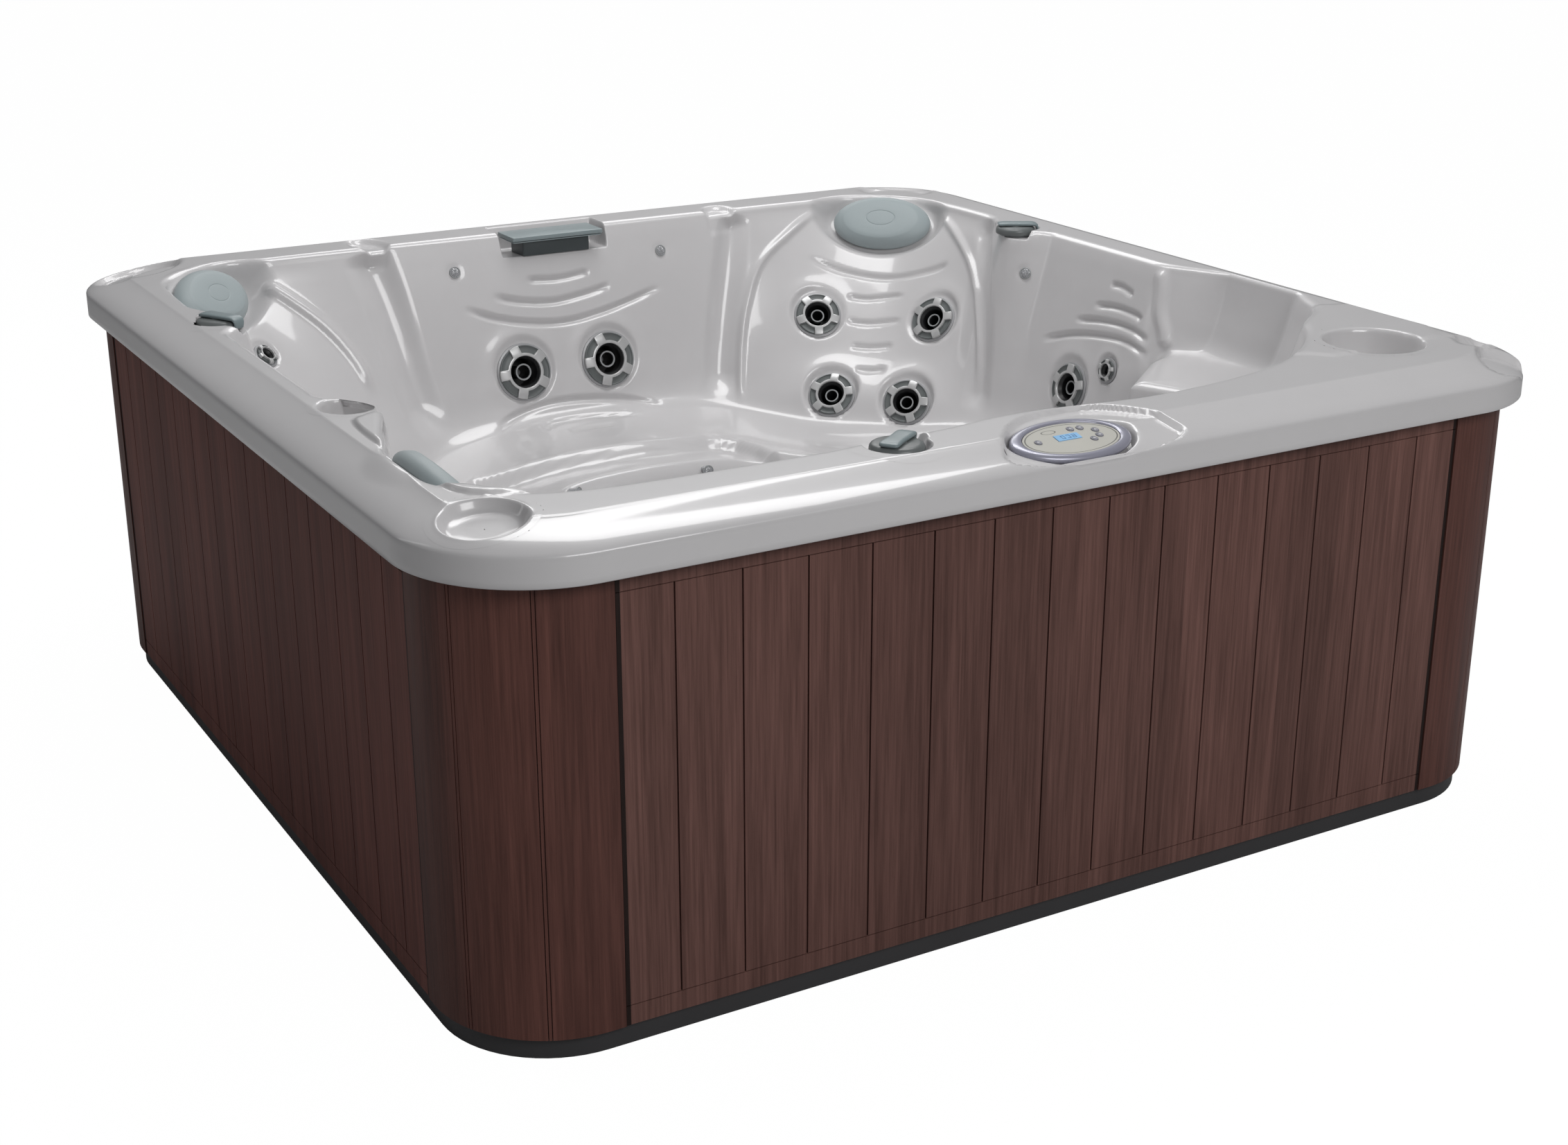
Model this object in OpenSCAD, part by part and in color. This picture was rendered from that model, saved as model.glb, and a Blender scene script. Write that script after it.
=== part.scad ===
// Square acrylic hot tub with a planked cabinet.
// The origin is at the middle of the footprint, on the ground, with +Z up.
// The control panel faces -Y. Angles of wall fittings turn from +X towards +Y.

/* [Rim] */
// Overall width of the moulded rim, both ways
rim_w = 2134; // [2060:1:2240]
// Corner radius of the rim
rim_corner_r = 224; // [180:1:280]
// Height of the rim top above the ground
rim_z = 835; // [810:1:900]
// Height of the skirt that hangs over the cabinet
skirt_h = 50; // [30:1:70]
// Drop from the rim top to the top of the skirt
rim_bevel_h = 27; // [18:1:40]
// Width of the sloping edge of the rim
rim_bevel_w = 83; // [60:1:100]
// Thickness of the moulded shell
shell_t = 9; // [6:0.5:10]
// Width of the rim at the front, from the outer edge to the opening
rim_front_w = 172; // [165:1:185]
// Width of the rim at the back
rim_back_w = 187; // [175:1:200]
// Width of the rim at the left
rim_left_w = 122; // [115:1:135]
// Width of the rim at the right
rim_right_w = 162; // [155:1:175]

/* [Seats] */
// How far the straight backrests lean in from the rim to the seat
wall_lean = 105; // [90:1:130]
// Distance of the corner backrests from the middle, at the seat
corner_back = 805; // [780:1:830]
// Height where the backrests meet the seats
back_foot_z = 430; // [410:1:450]
// Height of the seat edge around the footwell
seat_z = 402; // [390:1:410]
// Depth of the dish in the seats
seat_dish = 30; // [15:1:40]
// Height of the cool-down seat
cool_seat_z = 668; // [650:1:700]

/* [Footwell] */
// Height of the footwell floor
floor_z = 78; // [60:1:100]
// Distance of the footwell edge from the middle, back and front
well_y = 429; // [400:1:450]
// Distance of the footwell edge from the middle at the left
well_left = 285; // [270:1:320]
// Distance of the footwell edge from the middle at the right
well_right = 330; // [290:1:350]
// Distance of the cut corners of the footwell from the middle
well_corner = 460; // [440:1:480]
// Distance of the slanting back part of the left footwell edge from the middle
well_slant = 342; // [330:1:360]

/* [Cabinet] */
// How far the panels stand in from the rim edge
panel_inset = 32; // [26:1:40]
// Thickness of the side panels
panel_t = 16; // [12:1:20]
// Width of the flat edge of a corner panel beside a side panel
corner_flat = 25.5; // [15:0.5:50]
// Width of the first and last plank of a side panel
end_plank_w = 92.4; // [60:0.1:110]
// Number of grooves in a side panel
plank_grooves = 14; // [8:1:14]
// Width of a groove
groove_w = 3; // [2:0.5:5]
// Depth of a groove
groove_d = 4; // [2:0.5:6]
// Height of the bottom rail of a panel
bottom_rail_h = 33; // [25:1:60]
// Height of the groove tops above the ground
groove_top_z = 727; // [690:1:740]
// Outer radius of the corner panels
corner_panel_r = 200; // [150:1:215]
// Gap between a corner panel and a side panel
panel_gap = 1.5; // [0.5:0.5:4]

/* [Base and frame] */
// Height of the base pan
base_h = 36; // [24:1:40]
// How far the base pan stands in from the panels
base_inset = 8; // [4:1:12]
// Floor thickness of the base pan
base_floor_t = 8; // [5:1:12]
// Wall thickness of the base pan
base_wall_t = 7.5; // [5:0.5:10]
// Thickness of the frame channels
frame_t = 26; // [20:1:30]
// Height of the frame channels
frame_h = 60; // [40:1:80]
// Width of the frame posts
post_w = 50; // [30:1:70]

/* [Jets] */
// Outer radius of the largest jet rings
jet_xl_r = 61; // [50:0.5:64]
// Outer radius of the large jet rings
jet_l_r = 51.5; // [44:0.5:56]
// Outer radius of the small jet rings
jet_s_r = 24; // [20:0.5:28]
// Depth of a jet body behind the wall
jet_depth = 78; // [60:1:85]
// How far a jet seat is sunk into the wall
jet_sink = 4; // [2:0.5:6]

/* [Trim] */
// Width of a pillow
pillow_w = 236; // [200:1:250]
// Height of a pillow along the backrest
pillow_h = 138; // [110:1:150]
// Thickness of a pillow
pillow_t = 46; // [34:1:56]
// Radius of a diverter knob
knob_r = 44; // [36:1:48]
// Height of a diverter knob without its paddle
knob_h = 16; // [12:1:22]
// Radius of a diverter valve under the rim
valve_r = 28; // [22:1:30]
// Half width of the control panel bezel
bezel_a = 110; // [100:1:112]
// Half depth of the control panel bezel
bezel_b = 61; // [55:1:62]
// Radius of a control button
button_r = 6.5; // [5:0.5:7.5]
// Travel of a control button
button_travel = 1; // [0.5:0.1:1.5]
// Width of the waterfall cover plate
waterfall_w = 220; // [150:1:240]
// Radius of the cup holder in the left rim
cup_r = 40; // [34:1:42]
// Depth of the cup holder
cup_depth = 55; // [30:1:70]
// Radius of the ice bucket recess in the right corner
bucket_r = 90; // [70:1:94]
// Depth of the ice bucket recess
bucket_depth = 60; // [40:1:90]

/* [Equipment] */
// Radius of the pump motor
motor_r = 78; // [60:1:85]
// Length of the pump motor
motor_len = 250; // [200:1:270]
// Radius of the plumbing pipes
pipe_r = 25; // [20:1:28]
// Radius of the filter cartridge
cartridge_r = 58; // [45:1:60]
// Length of the filter cartridge
cartridge_len = 250; // [180:1:270]

/* [Hidden] */

// Clearance of moving fits, and of pieces that seat on one another
gap = 0.3;
// Small overlap that lets a cut run clear through
eps = 0.5;
rim_half = rim_w / 2;
skirt_z = rim_z - rim_bevel_h;
skirt_bottom_z = skirt_z - skirt_h;
lip_z = rim_z - 23;
crease_r = rim_corner_r - 74;
panel_half = rim_half - panel_inset;
panel_top_z = skirt_z - shell_t - 4;
rail_z = base_h + bottom_rail_h;
base_half = panel_half - base_inset;

// Width of the rim at the corner with the ice bucket recess, from the square corner
bucket_rim_w = 449;
// Opening of the rim as faces: direction in degrees and distance from the middle
lip_faces = [[0, rim_half - rim_right_w], [90, rim_half - rim_back_w],
    [180, rim_half - rim_left_w], [270, rim_half - rim_front_w], [315, rim_half * sqrt(2) - bucket_rim_w]];
foot_faces = [[0, rim_half - rim_right_w - wall_lean], [45, corner_back],
    [90, rim_half - rim_back_w - wall_lean], [135, corner_back + 20],
    [180, rim_half - rim_left_w - wall_lean], [225, corner_back + 95],
    [270, rim_half - rim_front_w - wall_lean], [315, corner_back + 45]];
well_faces = [[0, well_right], [45, well_corner], [90, well_y], [161, well_slant],
    [180, well_left], [225, well_corner], [270, well_y], [315, well_corner + 8]];
// Inward bulges (negative) and outward coves of the rim opening: direction, depth, half angle
lip_bulges = [[-20, 105, 16], [200.5, -62, 9], [-91, -32, 17], [253.4, -14, 7],
    [157, -59, 7], [23, -62, 7]];

// Diverter centres
knob_front = [-275, -(rim_half - rim_front_w + 30)];
knob_left = [-(rim_half - rim_left_w - 13), 396];
knob_right = [rim_half - rim_right_w - 21, 376];
knobs = [knob_front, knob_left, knob_right];

// Wall fittings: direction, height and ring radius
jets = [[100.2, 537, jet_xl_r], [85.4, 540, jet_xl_r], [51.6, 597, jet_l_r], [34.5, 605, jet_l_r],
    [48.2, 437, jet_l_r], [35.6, 433, jet_l_r], [5.6, 538, jet_l_r], [-2.1, 599, jet_s_r],
    [136.2, 671, jet_s_r], [203, 590, jet_l_r], [213, 590, jet_l_r]];
lights = [[107.6, 765], [74.9, 762], [19.1, 746]];
well_lights = [[75, 370], [116.3, 372]];
suctions = [[262, 190], [278, 190]];
// Pillow centres: direction, height, and the direction that the backrest faces from
pillows = [[45, 778, 45], [136.4, 778, 135], [215.3, 787, 180]];
pillow_tilt = 42;
suction_r = 52;
lens_r = 13;

// Sum of a list
function total(v, i = 0) = i < len(v) ? v[i] + total(v, i + 1) : 0;
function unit(v) = v / norm(v);
function turned(a) = a - 360 * floor((a + 180) / 360);
function ease(a, b, x) = let (t = min(1, max(0, (x - a) / (b - a)))) t * t * (3 - 2 * t);
function mix(a, b, t) = a + (b - a) * t;
function bump(a, c, w) = let (x = turned(a - c) / w) abs(x) < 1 ? pow(1 - x * x, 2) : 0;
// Radius of a many-sided outline with rounded corners, in direction a
function faced(a, faces, p) =
    pow(total([for (f = faces) cos(a - f[0]) > 0 ? pow(cos(a - f[0]) / f[1], p) : 0]), -1 / p);
// Radius of a square with true round corners, in direction a
function squared(a, half, r) =
    let (t = min(a - 90 * floor(a / 90), 90 * ceil(a / 90) - a), c = half - r)
    tan(t) * half <= c ? half / cos(t)
    : c * (cos(t) + sin(t)) + sqrt(r * r - pow(c * (cos(t) - sin(t)), 2));

function lip(a) = faced(a, lip_faces, 10) + total([for (b = lip_bulges) b[1] * bump(a, b[0], b[2])]);
function foot(a) = faced(a, foot_faces, 30);
function well(a) = faced(a, well_faces, 36);
function well_z(a) = seat_z + 18 * bump(a, 92, 40) - 16 * bump(a, 45, 30) - 16 * bump(a, 135, 30);
// How much of the cool-down seat lies in direction a, from 0 to 1
function cool(a) = ease(-10, -15, turned(a)) * ease(-42, -38, turned(a));
// Front edge of the cool-down seat: two straight sides that meet in a corner
function step_r(a) =
    let (b = turned(a))
    b < -55 || b > 0 ? 0 : min(lip(a) - 70, max(675 / cos(b + 50.7), 490.7 / cos(b - 22.4)));
// Radius of the plain backrest at height z
function wall_r(a, z) =
    let (s = max(0, (lip_z - z) / (lip_z - back_foot_z))) mix(lip(a), foot(a), pow(s, 0.85));
function wall_pt(a, z) = let (r = wall_r(a, z)) [r * cos(a), r * sin(a), z];
function wall_n(a, z) =
    unit(cross(wall_pt(a, z + 20) - wall_pt(a, z - 20), wall_pt(a + 2, z) - wall_pt(a - 2, z)));
// Side wall of the footwell, from the shoulder under its edge to the bend into the floor
well_shoulder = 80;
well_bend = 40;
function well_r(a, z) =
    well(a) - 22 - 30 * (well_z(a) - well_shoulder - z) / (well_z(a) - well_shoulder - floor_z - well_bend);
function well_pt(a, z) = let (r = well_r(a, z)) [r * cos(a), r * sin(a), z];
function well_n(a, z) =
    unit(cross(well_pt(a, z + 20) - well_pt(a, z - 20), well_pt(a + 2, z) - well_pt(a - 2, z)));

// Places children at a point with their z axis along n and their y axis up the wall
module aimed(p, n) {
    translate(p) rotate([0, 0, atan2(n[1], n[0])]) rotate([0, acos(n[2]), 0]) rotate([0, 0, 90])
        children();
}
module on_wall(f, depth = 0) {
    n = wall_n(f[0], f[1]);
    aimed(wall_pt(f[0], f[1]) - depth * n, n) children();
}
module in_well(f) {
    aimed(well_pt(f[0], f[1]), well_n(f[0], f[1])) children();
}

// Heights of the section on the backrest, from the top down
upper_wall_z = [rim_z - 55, rim_z - 100];
lower_wall_z = [back_foot_z + 170, back_foot_z + 90];
// One radial section of the shell, from the skirt edge to the middle of the floor
function section(a) =
    let (l = lip(a), w = cool(a), f = mix(foot(a), step_r(a) - 24, w), e = well(a), ze = well_z(a),
        s = step_r(a), g = e - 52)
    [[squared(a, rim_half, rim_corner_r), skirt_bottom_z],
    [squared(a, rim_half, rim_corner_r), skirt_z - 6],
    [squared(a, rim_half - 8, rim_corner_r - 6), skirt_z + 2],
    [squared(a, rim_half - rim_bevel_w, crease_r), rim_z - 1],
    [mix(squared(a, rim_half - rim_bevel_w, crease_r), l + 22, 0.5), rim_z],
    [l + 22, rim_z],
    [l + 6, rim_z - 5],
    [l, rim_z - 17],
    [mix(wall_r(a, upper_wall_z[0]), l - 8, w), upper_wall_z[0]],
    [mix(wall_r(a, upper_wall_z[1]), l - 20, w), upper_wall_z[1]],
    [mix(wall_r(a, cool_seat_z + 20), l - 38, w), cool_seat_z + 20],
    [mix(wall_r(a, cool_seat_z + 4), l - 58, w), cool_seat_z + 4],
    [mix(wall_r(a, cool_seat_z - 4), s + 26, w), cool_seat_z - 1],
    [mix(wall_r(a, cool_seat_z - 14), s, w), cool_seat_z - 14],
    [mix(wall_r(a, lower_wall_z[0]), s - 8, w), lower_wall_z[0]],
    [mix(wall_r(a, lower_wall_z[1]), s - 16, w), lower_wall_z[1]],
    [f, back_foot_z],
    [f - 30, ze + 4 - seat_dish * 0.3],
    [mix(f, e, 0.45), ze - seat_dish],
    [e + 42, ze - 3],
    [e, ze - 14],
    [e - 22, ze - well_shoulder],
    [e - 52, floor_z + well_bend],
    [g - 12, floor_z + 10],
    [g - 44, floor_z],
    [g * 0.5, floor_z]];
// Stations of the section that the back face of the moulding keeps
back_stations = [0, 1, 3, 5, 7, 8, 10, 11, 12, 13, 15, 16, 17, 18, 20, 21, 22, 23, 24];
function back_pt(s, i) =
    i == 0 ? [s[0][0] - shell_t, s[0][1]]
    : let (d = unit(s[i + 1] - s[i - 1])) s[i] + shell_t * [-d[1], d[0]];

sides_n = 14;
// Directions of the sections along the four sides, closer at the corners
function spread(t) = t * (1.25 - 0.25 * t * t);
ring_angles = [for (k = [0:3]) for (i = [0:sides_n - 1])
    90 * k + atan(spread((i + 0.5) / sides_n * 2 - 1))];

function ring(a, p) = [p[0] * cos(a), p[0] * sin(a), p[1]];

module sheet() {
    n = len(ring_angles);
    tops = [for (a = ring_angles) section(a)];
    m = len(tops[0]);
    k = len(back_stations);
    outer = [for (j = [0:m - 1]) for (i = [0:n - 1]) ring(ring_angles[i], tops[i][j])];
    inner = [for (j = back_stations) for (i = [0:n - 1]) ring(ring_angles[i], back_pt(tops[i], j))];
    points = concat(outer, inner, [[0, 0, floor_z], [0, 0, floor_z - shell_t]]);
    c = len(points) - 2;
    faces = concat(
        [for (j = [0:m - 2]) for (i = [0:n - 1]) let (q = (i + 1) % n)
            [j * n + i, (j + 1) * n + i, (j + 1) * n + q, j * n + q]],
        [for (i = [0:n - 1]) [(m - 1) * n + i, c, (m - 1) * n + (i + 1) % n]],
        [for (j = [0:k - 2]) for (i = [0:n - 1]) let (q = (i + 1) % n)
            [(m + j) * n + q, (m + j + 1) * n + q, (m + j + 1) * n + i, (m + j) * n + i]],
        [for (i = [0:n - 1]) [(m + k - 1) * n + (i + 1) % n, c + 1, (m + k - 1) * n + i]],
        [for (i = [0:n - 1]) let (q = (i + 1) % n) [i, q, m * n + q, m * n + i]]);
    polyhedron(points, faces, convexity = 10);
}

// Stadium-like oval outline as a list of points
function oval(a, b, n = 40) = [for (i = [0:n - 1]) [a * cos(360 * i / n), b * sin(360 * i / n)]];

// Outer radius of an n-sided hole whose flats clear a round piece of radius r
function across(r, n) = (r + gap) / cos(180 / n);
fitting_sides = 12;
// Seat of a round fitting in the wall: a boss behind it, a dish and a hole in front
module round_boss(r, back) {
    hull() {
        translate([0, 0, -14]) cylinder(h = 14, r = r + 9, $fn = fitting_sides);
        translate([0, 0, -back]) cylinder(h = 2, r = r * 0.75 + 4, $fn = fitting_sides);
    }
}
module round_cut(r, stem_r, back) {
    cylinder(h = 30, r1 = r + 8, r2 = r + 22, $fn = fitting_sides);
    translate([0, 0, -back - eps])
        cylinder(h = back + 2 * eps, r = across(stem_r, fitting_sides), $fn = fitting_sides);
}
module lens_hole() {
    translate([0, 0, -lens_len]) cylinder(h = lens_len + 20, r = across(lens_stem_r, 10), $fn = 10);
    translate([0, 0, -1]) cylinder(h = 20, r = across(lens_r, 10), $fn = 10);
}
barrel_ratio = 0.62;
jet_boss_h = 24;
lens_len = 24;
pillow_boss_h = 22;
pillow_sink = 8;
lens_stem_r = 9;
suction_stem_r = 24;

module at_pillow(f) {
    n = [-cos(f[2]) * cos(pillow_tilt), -sin(f[2]) * cos(pillow_tilt), sin(pillow_tilt)];
    aimed(wall_pt(f[0], f[1]) - pillow_sink * n, n) children();
}
module pillow_boss() {
    hull() {
        translate([0, 0, -10]) linear_extrude(10) polygon(oval(pillow_w / 2 + 6, pillow_h / 2 + 6, 20));
        translate([0, 0, -pillow_boss_h]) linear_extrude(2)
            polygon(oval(pillow_w / 2 - 20, pillow_h / 2 - 20, 20));
    }
}

// Frame of the control panel: tilted towards the front
panel_x = 4;
panel_y = -(rim_half - 72);
panel_tilt = 13;
panel_drop = 16;
panel_floor = 9;
module at_panel() {
    translate([panel_x, panel_y, rim_z - panel_drop]) rotate([panel_tilt, 0, 0]) children();
}
pocket_gap = 3.5;

// Round recesses in the rim
cup_at = [-(rim_half - rim_left_w) + 8, -305];
bucket_at = [rim_half - 249, -(rim_half - 252)];
tray_at = [-(rim_half - 113), -(rim_half - 147)];
tray_r = 64;
tray_floor = 10;
module at_tray() {
    translate([tray_at[0], tray_at[1], rim_z - 6]) rotate([0, 0, 225]) rotate([0, 9, 0]) children();
}
module round_pod(r, depth) {
    translate([0, 0, -depth - shell_t]) cylinder(h = depth + shell_t - 3, r = r + shell_t - 1, $fn = 20);
}
module round_pocket(r, depth) {
    translate([0, 0, -depth]) cylinder(h = depth + 12, r1 = r - depth / 8, r2 = r + 2, $fn = 20);
}

// Sunk ledges of the diverters, open towards the tub
ledge_drop = 18;
ledge_gap = 9;
ledge_z = rim_z - ledge_drop;

// Notch of the waterfall in the back rim
notch_z = rim_z - 52;
notch_back = rim_half - 109;
notch_side = waterfall_w / 2 + 18;
waterfall_x = -28;
notch_front = wall_r(92, notch_z) - 1;

module shell() {
    color("gainsboro") difference() {
        union() {
            sheet();
            for (j = jets) on_wall(j, jet_sink) round_boss(j[2], jet_boss_h);
            for (f = suctions) in_well(f) translate([0, 0, 2]) round_boss(suction_r - 4, jet_boss_h);
            for (f = pillows) at_pillow(f) pillow_boss();
            at_panel() translate([0, 0, -panel_floor - shell_t]) linear_extrude(panel_floor + shell_t - 4)
                polygon(oval(bezel_a + pocket_gap + 7, bezel_b + pocket_gap + 4, 28));
            translate([cup_at[0], cup_at[1], rim_z]) round_pod(cup_r, cup_depth);
            translate([bucket_at[0], bucket_at[1], rim_z]) round_pod(bucket_r, bucket_depth);
            for (k = knobs) translate([k[0], k[1], ledge_z - shell_t])
                cylinder(h = ledge_drop + shell_t - 4, r = knob_r + ledge_gap + 6, $fn = 16);
            at_tray() translate([0, 0, -tray_floor - shell_t])
                cylinder(h = tray_floor + shell_t - 4, r = tray_r + 6, $fn = 20);
            translate([waterfall_x - notch_side - shell_t, notch_front, notch_z - shell_t])
                cube([2 * notch_side + 2 * shell_t, notch_back + shell_t - notch_front, rim_z - notch_z + 6]);
        }
        for (j = jets) on_wall(j, jet_sink) round_cut(j[2], j[2] * barrel_ratio, jet_boss_h);
        for (f = lights) on_wall(f, 1) lens_hole();
        for (f = well_lights) in_well(f) lens_hole();
        for (f = suctions) in_well(f) translate([0, 0, 2])
            round_cut(suction_r - 4, suction_stem_r, jet_boss_h);
        for (f = pillows) at_pillow(f) linear_extrude(60)
            polygon(oval(pillow_w / 2 + 5, pillow_h / 2 + 5, 20));
        for (k = knobs) translate([k[0], k[1], ledge_z]) {
            cylinder(h = 40, r1 = knob_r + ledge_gap - 3, r2 = knob_r + ledge_gap + 6, $fn = 16);
            translate([0, 0, -30]) cylinder(h = 31, r = across(valve_r, 16), $fn = 16);
        }
        at_panel() translate([0, 0, -panel_floor]) linear_extrude(40)
            polygon(oval(bezel_a + pocket_gap, bezel_b + pocket_gap, 28));
        translate([cup_at[0], cup_at[1], rim_z]) round_pocket(cup_r, cup_depth);
        translate([bucket_at[0], bucket_at[1], rim_z]) round_pocket(bucket_r, bucket_depth);
        at_tray() translate([0, 0, -tray_floor]) cylinder(h = 30, r1 = tray_r - 5, r2 = tray_r + 5, $fn = 20);
        translate([waterfall_x - notch_side, notch_front - 120, notch_z])
            cube([2 * notch_side, notch_back - notch_front + 120, rim_z - notch_z + eps]);
    }
}

// Cabinet, base and frame
module side(k) {
    rotate([0, 0, 90 * k]) children();
}
corner_proud = 2;
corner_c = panel_half + corner_proud - corner_panel_r;
base_corner_r = base_half - corner_c;
frame_out = panel_half - panel_t - gap;
frame_in = frame_out - frame_t;
frame_len = 2 * corner_c - 110;
bevel_slope = (rim_bevel_h - 3) / (rim_bevel_w - 8);
top_rail_z = rim_z - 1 - (frame_out - rim_half + rim_bevel_w) * bevel_slope - shell_t * 1.06 - gap;
post_inset = 82;
post_x = [for (k = [-2:2]) k * (frame_len / 2 - post_inset) / 2];
panel_len = 2 * (corner_c - corner_flat - panel_gap);
plank_pitch = (panel_len - 2 * end_plank_w) / (plank_grooves - 1);
corner_post_r = 19;
corner_post_at = corner_c * sqrt(2) + min(corner_panel_r - panel_t, base_corner_r - base_wall_t)
    - gap - corner_post_r;
// Underside of the pocket for the control panel
panel_pocket_z = rim_z - panel_drop - (panel_floor + shell_t) * cos(panel_tilt)
    - (bezel_b + pocket_gap + 4) * sin(panel_tilt);
front_rail_z = min(top_rail_z, panel_pocket_z - gap);
function rail_top(k) = k == 0 ? front_rail_z : top_rail_z;

module round_square(half, r, h) {
    c = half - r;
    translate([-half, -c, 0]) cube([2 * half, 2 * c, h]);
    translate([-c, -half, 0]) cube([2 * c, 2 * half, h]);
    for (x = [-c, c]) for (y = [-c, c]) translate([x, y, 0]) cylinder(h = h, r = r, $fn = 96);
}
module base_pan() {
    color("dimgray") difference() {
        round_square(base_half, base_corner_r, base_h);
        translate([0, 0, base_floor_t])
            round_square(base_half - base_wall_t, base_corner_r - base_wall_t, base_h);
    }
}
support_w = 340;
support_len = 560;
module footwell_support() {
    color("lightsteelblue") translate([-support_w / 2, -support_len / 2, base_floor_t])
        cube([support_w, support_len, floor_z - shell_t - gap - base_floor_t]);
}
module frame_rails() {
    color("silver") for (k = [0:3]) side(k) {
        translate([-frame_len / 2, -frame_out, base_floor_t]) cube([frame_len, frame_t, frame_h]);
        translate([-frame_len / 2, -frame_out, rail_top(k) - frame_h]) cube([frame_len, frame_t, frame_h]);
    }
}
module frame_posts() {
    color("silver") for (k = [0:3]) side(k) {
        for (x = post_x) translate([x - post_w / 2, -frame_out, base_floor_t + frame_h])
            cube([post_w, frame_t, rail_top(k) - base_floor_t - 2 * frame_h]);
        rotate([0, 0, 45]) translate([0, -corner_post_at, base_floor_t])
            cylinder(h = top_rail_z - 14 - base_floor_t, r = corner_post_r, $fn = 48);
    }
}
module side_panel() {
    h = panel_top_z - base_h;
    difference() {
        translate([-panel_len / 2, -panel_half, base_h]) cube([panel_len, panel_t, h]);
        for (i = [0:plank_grooves - 1])
            translate([(i - (plank_grooves - 1) / 2) * plank_pitch - groove_w / 2, -panel_half - eps, rail_z])
                cube([groove_w, groove_d + eps, groove_top_z - rail_z]);
        for (z = [rail_z, groove_top_z])
            translate([-panel_len / 2 - eps, -panel_half - eps, z - groove_w / 4])
                cube([panel_len + 2 * eps, groove_d / 2 + eps, groove_w / 2]);
    }
}
module corner_panel() {
    h = panel_top_z - base_h;
    half = panel_half + corner_proud;
    translate([0, 0, base_h]) difference() {
        union() {
            difference() {
                translate([-corner_c, -corner_c, 0]) cylinder(h = h, r = corner_panel_r, $fn = 128);
                translate([-corner_c, -corner_c, -eps])
                    cylinder(h = h + 2 * eps, r = corner_panel_r - panel_t, $fn = 128);
                translate([-corner_c, -half - eps, -eps])
                    cube([2 * corner_panel_r, 3 * corner_panel_r, h + 2 * eps]);
                translate([-half - eps, -corner_c, -eps])
                    cube([3 * corner_panel_r, 2 * corner_panel_r, h + 2 * eps]);
            }
            translate([-corner_c, -half, 0]) cube([corner_flat, panel_t, h]);
            translate([-half, -corner_c, 0]) cube([panel_t, corner_flat, h]);
        }
        for (a = [-18.5, 18.5]) for (d = [-3, 3])
            translate([-corner_c, -corner_c, -eps]) rotate([0, 0, 225 + a])
                translate([corner_panel_r - groove_d, d - 0.75, 0])
                cube([groove_d * 2, 1.5, h + 2 * eps]);
    }
}
module panel_front() {
    notch_w = 2 * (bezel_a + pocket_gap + 12);
    color("saddlebrown") difference() {
        side_panel();
        translate([panel_x - notch_w / 2, -panel_half - eps, panel_pocket_z - 2])
            cube([notch_w, panel_t + 2 * eps, 60]);
    }
}
module panel_right() { color("saddlebrown") side(1) side_panel(); }
module panel_back() { color("saddlebrown") side(2) side_panel(); }
module panel_left() { color("saddlebrown") side(3) side_panel(); }
module corner_panel_near() { color("sienna") corner_panel(); }
module corner_panel_right() { color("sienna") side(1) corner_panel(); }
module corner_panel_far() { color("sienna") side(2) corner_panel(); }
module corner_panel_left() { color("sienna") side(3) corner_panel(); }

// Pillow: crowned oval pad whose sides draw in towards its flat back
pillow_rings = [[0.90, 0], [0.97, 0.10], [1.0, 0.26], [0.98, 0.42], [0.90, 0.60], [0.74, 0.78],
    [0.50, 0.92], [0.24, 0.985]];
module pillow() {
    n = 40;
    m = len(pillow_rings);
    points = concat([for (q = pillow_rings) for (p = oval(pillow_w / 2 * q[0], pillow_h / 2 * q[0], n))
        [p[0], p[1], gap + pillow_t * q[1]]], [[0, 0, gap + pillow_t], [0, 0, gap]]);
    faces = concat(
        [for (j = [0:m - 2]) for (i = [0:n - 1]) let (q = (i + 1) % n)
            [j * n + i, (j + 1) * n + i, (j + 1) * n + q]],
        [for (j = [0:m - 2]) for (i = [0:n - 1]) let (q = (i + 1) % n)
            [j * n + i, (j + 1) * n + q, j * n + q]],
        [for (i = [0:n - 1]) [(m - 1) * n + i, m * n, (m - 1) * n + (i + 1) % n]],
        [for (i = [0:n - 1]) [(i + 1) % n, m * n + 1, i]]);
    polyhedron(points, faces, convexity = 2);
}
module pillow_far() { color("lightslategray") at_pillow(pillows[0]) pillow(); }
module pillow_left() { color("lightslategray") at_pillow(pillows[1]) pillow(); }
module pillow_near() { color("lightslategray") at_pillow(pillows[2]) pillow(); }

// Waterfall spout
cap_t = 9;
slot_t = 3;
cap_z = rim_z - 6 - cap_t;
body_w = waterfall_w * 0.74;
cap_y = notch_front - 18;
cap_depth = 86;
module waterfall_body() {
    color("slategray") union() {
        translate([waterfall_x - body_w / 2, cap_y + 12, notch_z + gap])
            cube([body_w, cap_depth - 16, cap_z - slot_t - notch_z - gap]);
        translate([waterfall_x - body_w / 2 + 8, cap_y + 30, notch_z + gap])
            cube([body_w - 16, cap_depth - 36, cap_z - notch_z - gap]);
    }
}
module waterfall_cap() {
    color("lightslategray") difference() {
        translate([waterfall_x - waterfall_w / 2, cap_y, cap_z]) cube([waterfall_w, cap_depth, cap_t]);
        translate([waterfall_x - waterfall_w / 2 - eps, cap_y - eps, cap_z + cap_t - 2])
            cube([waterfall_w + 2 * eps, 3, 3]);
    }
}

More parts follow.
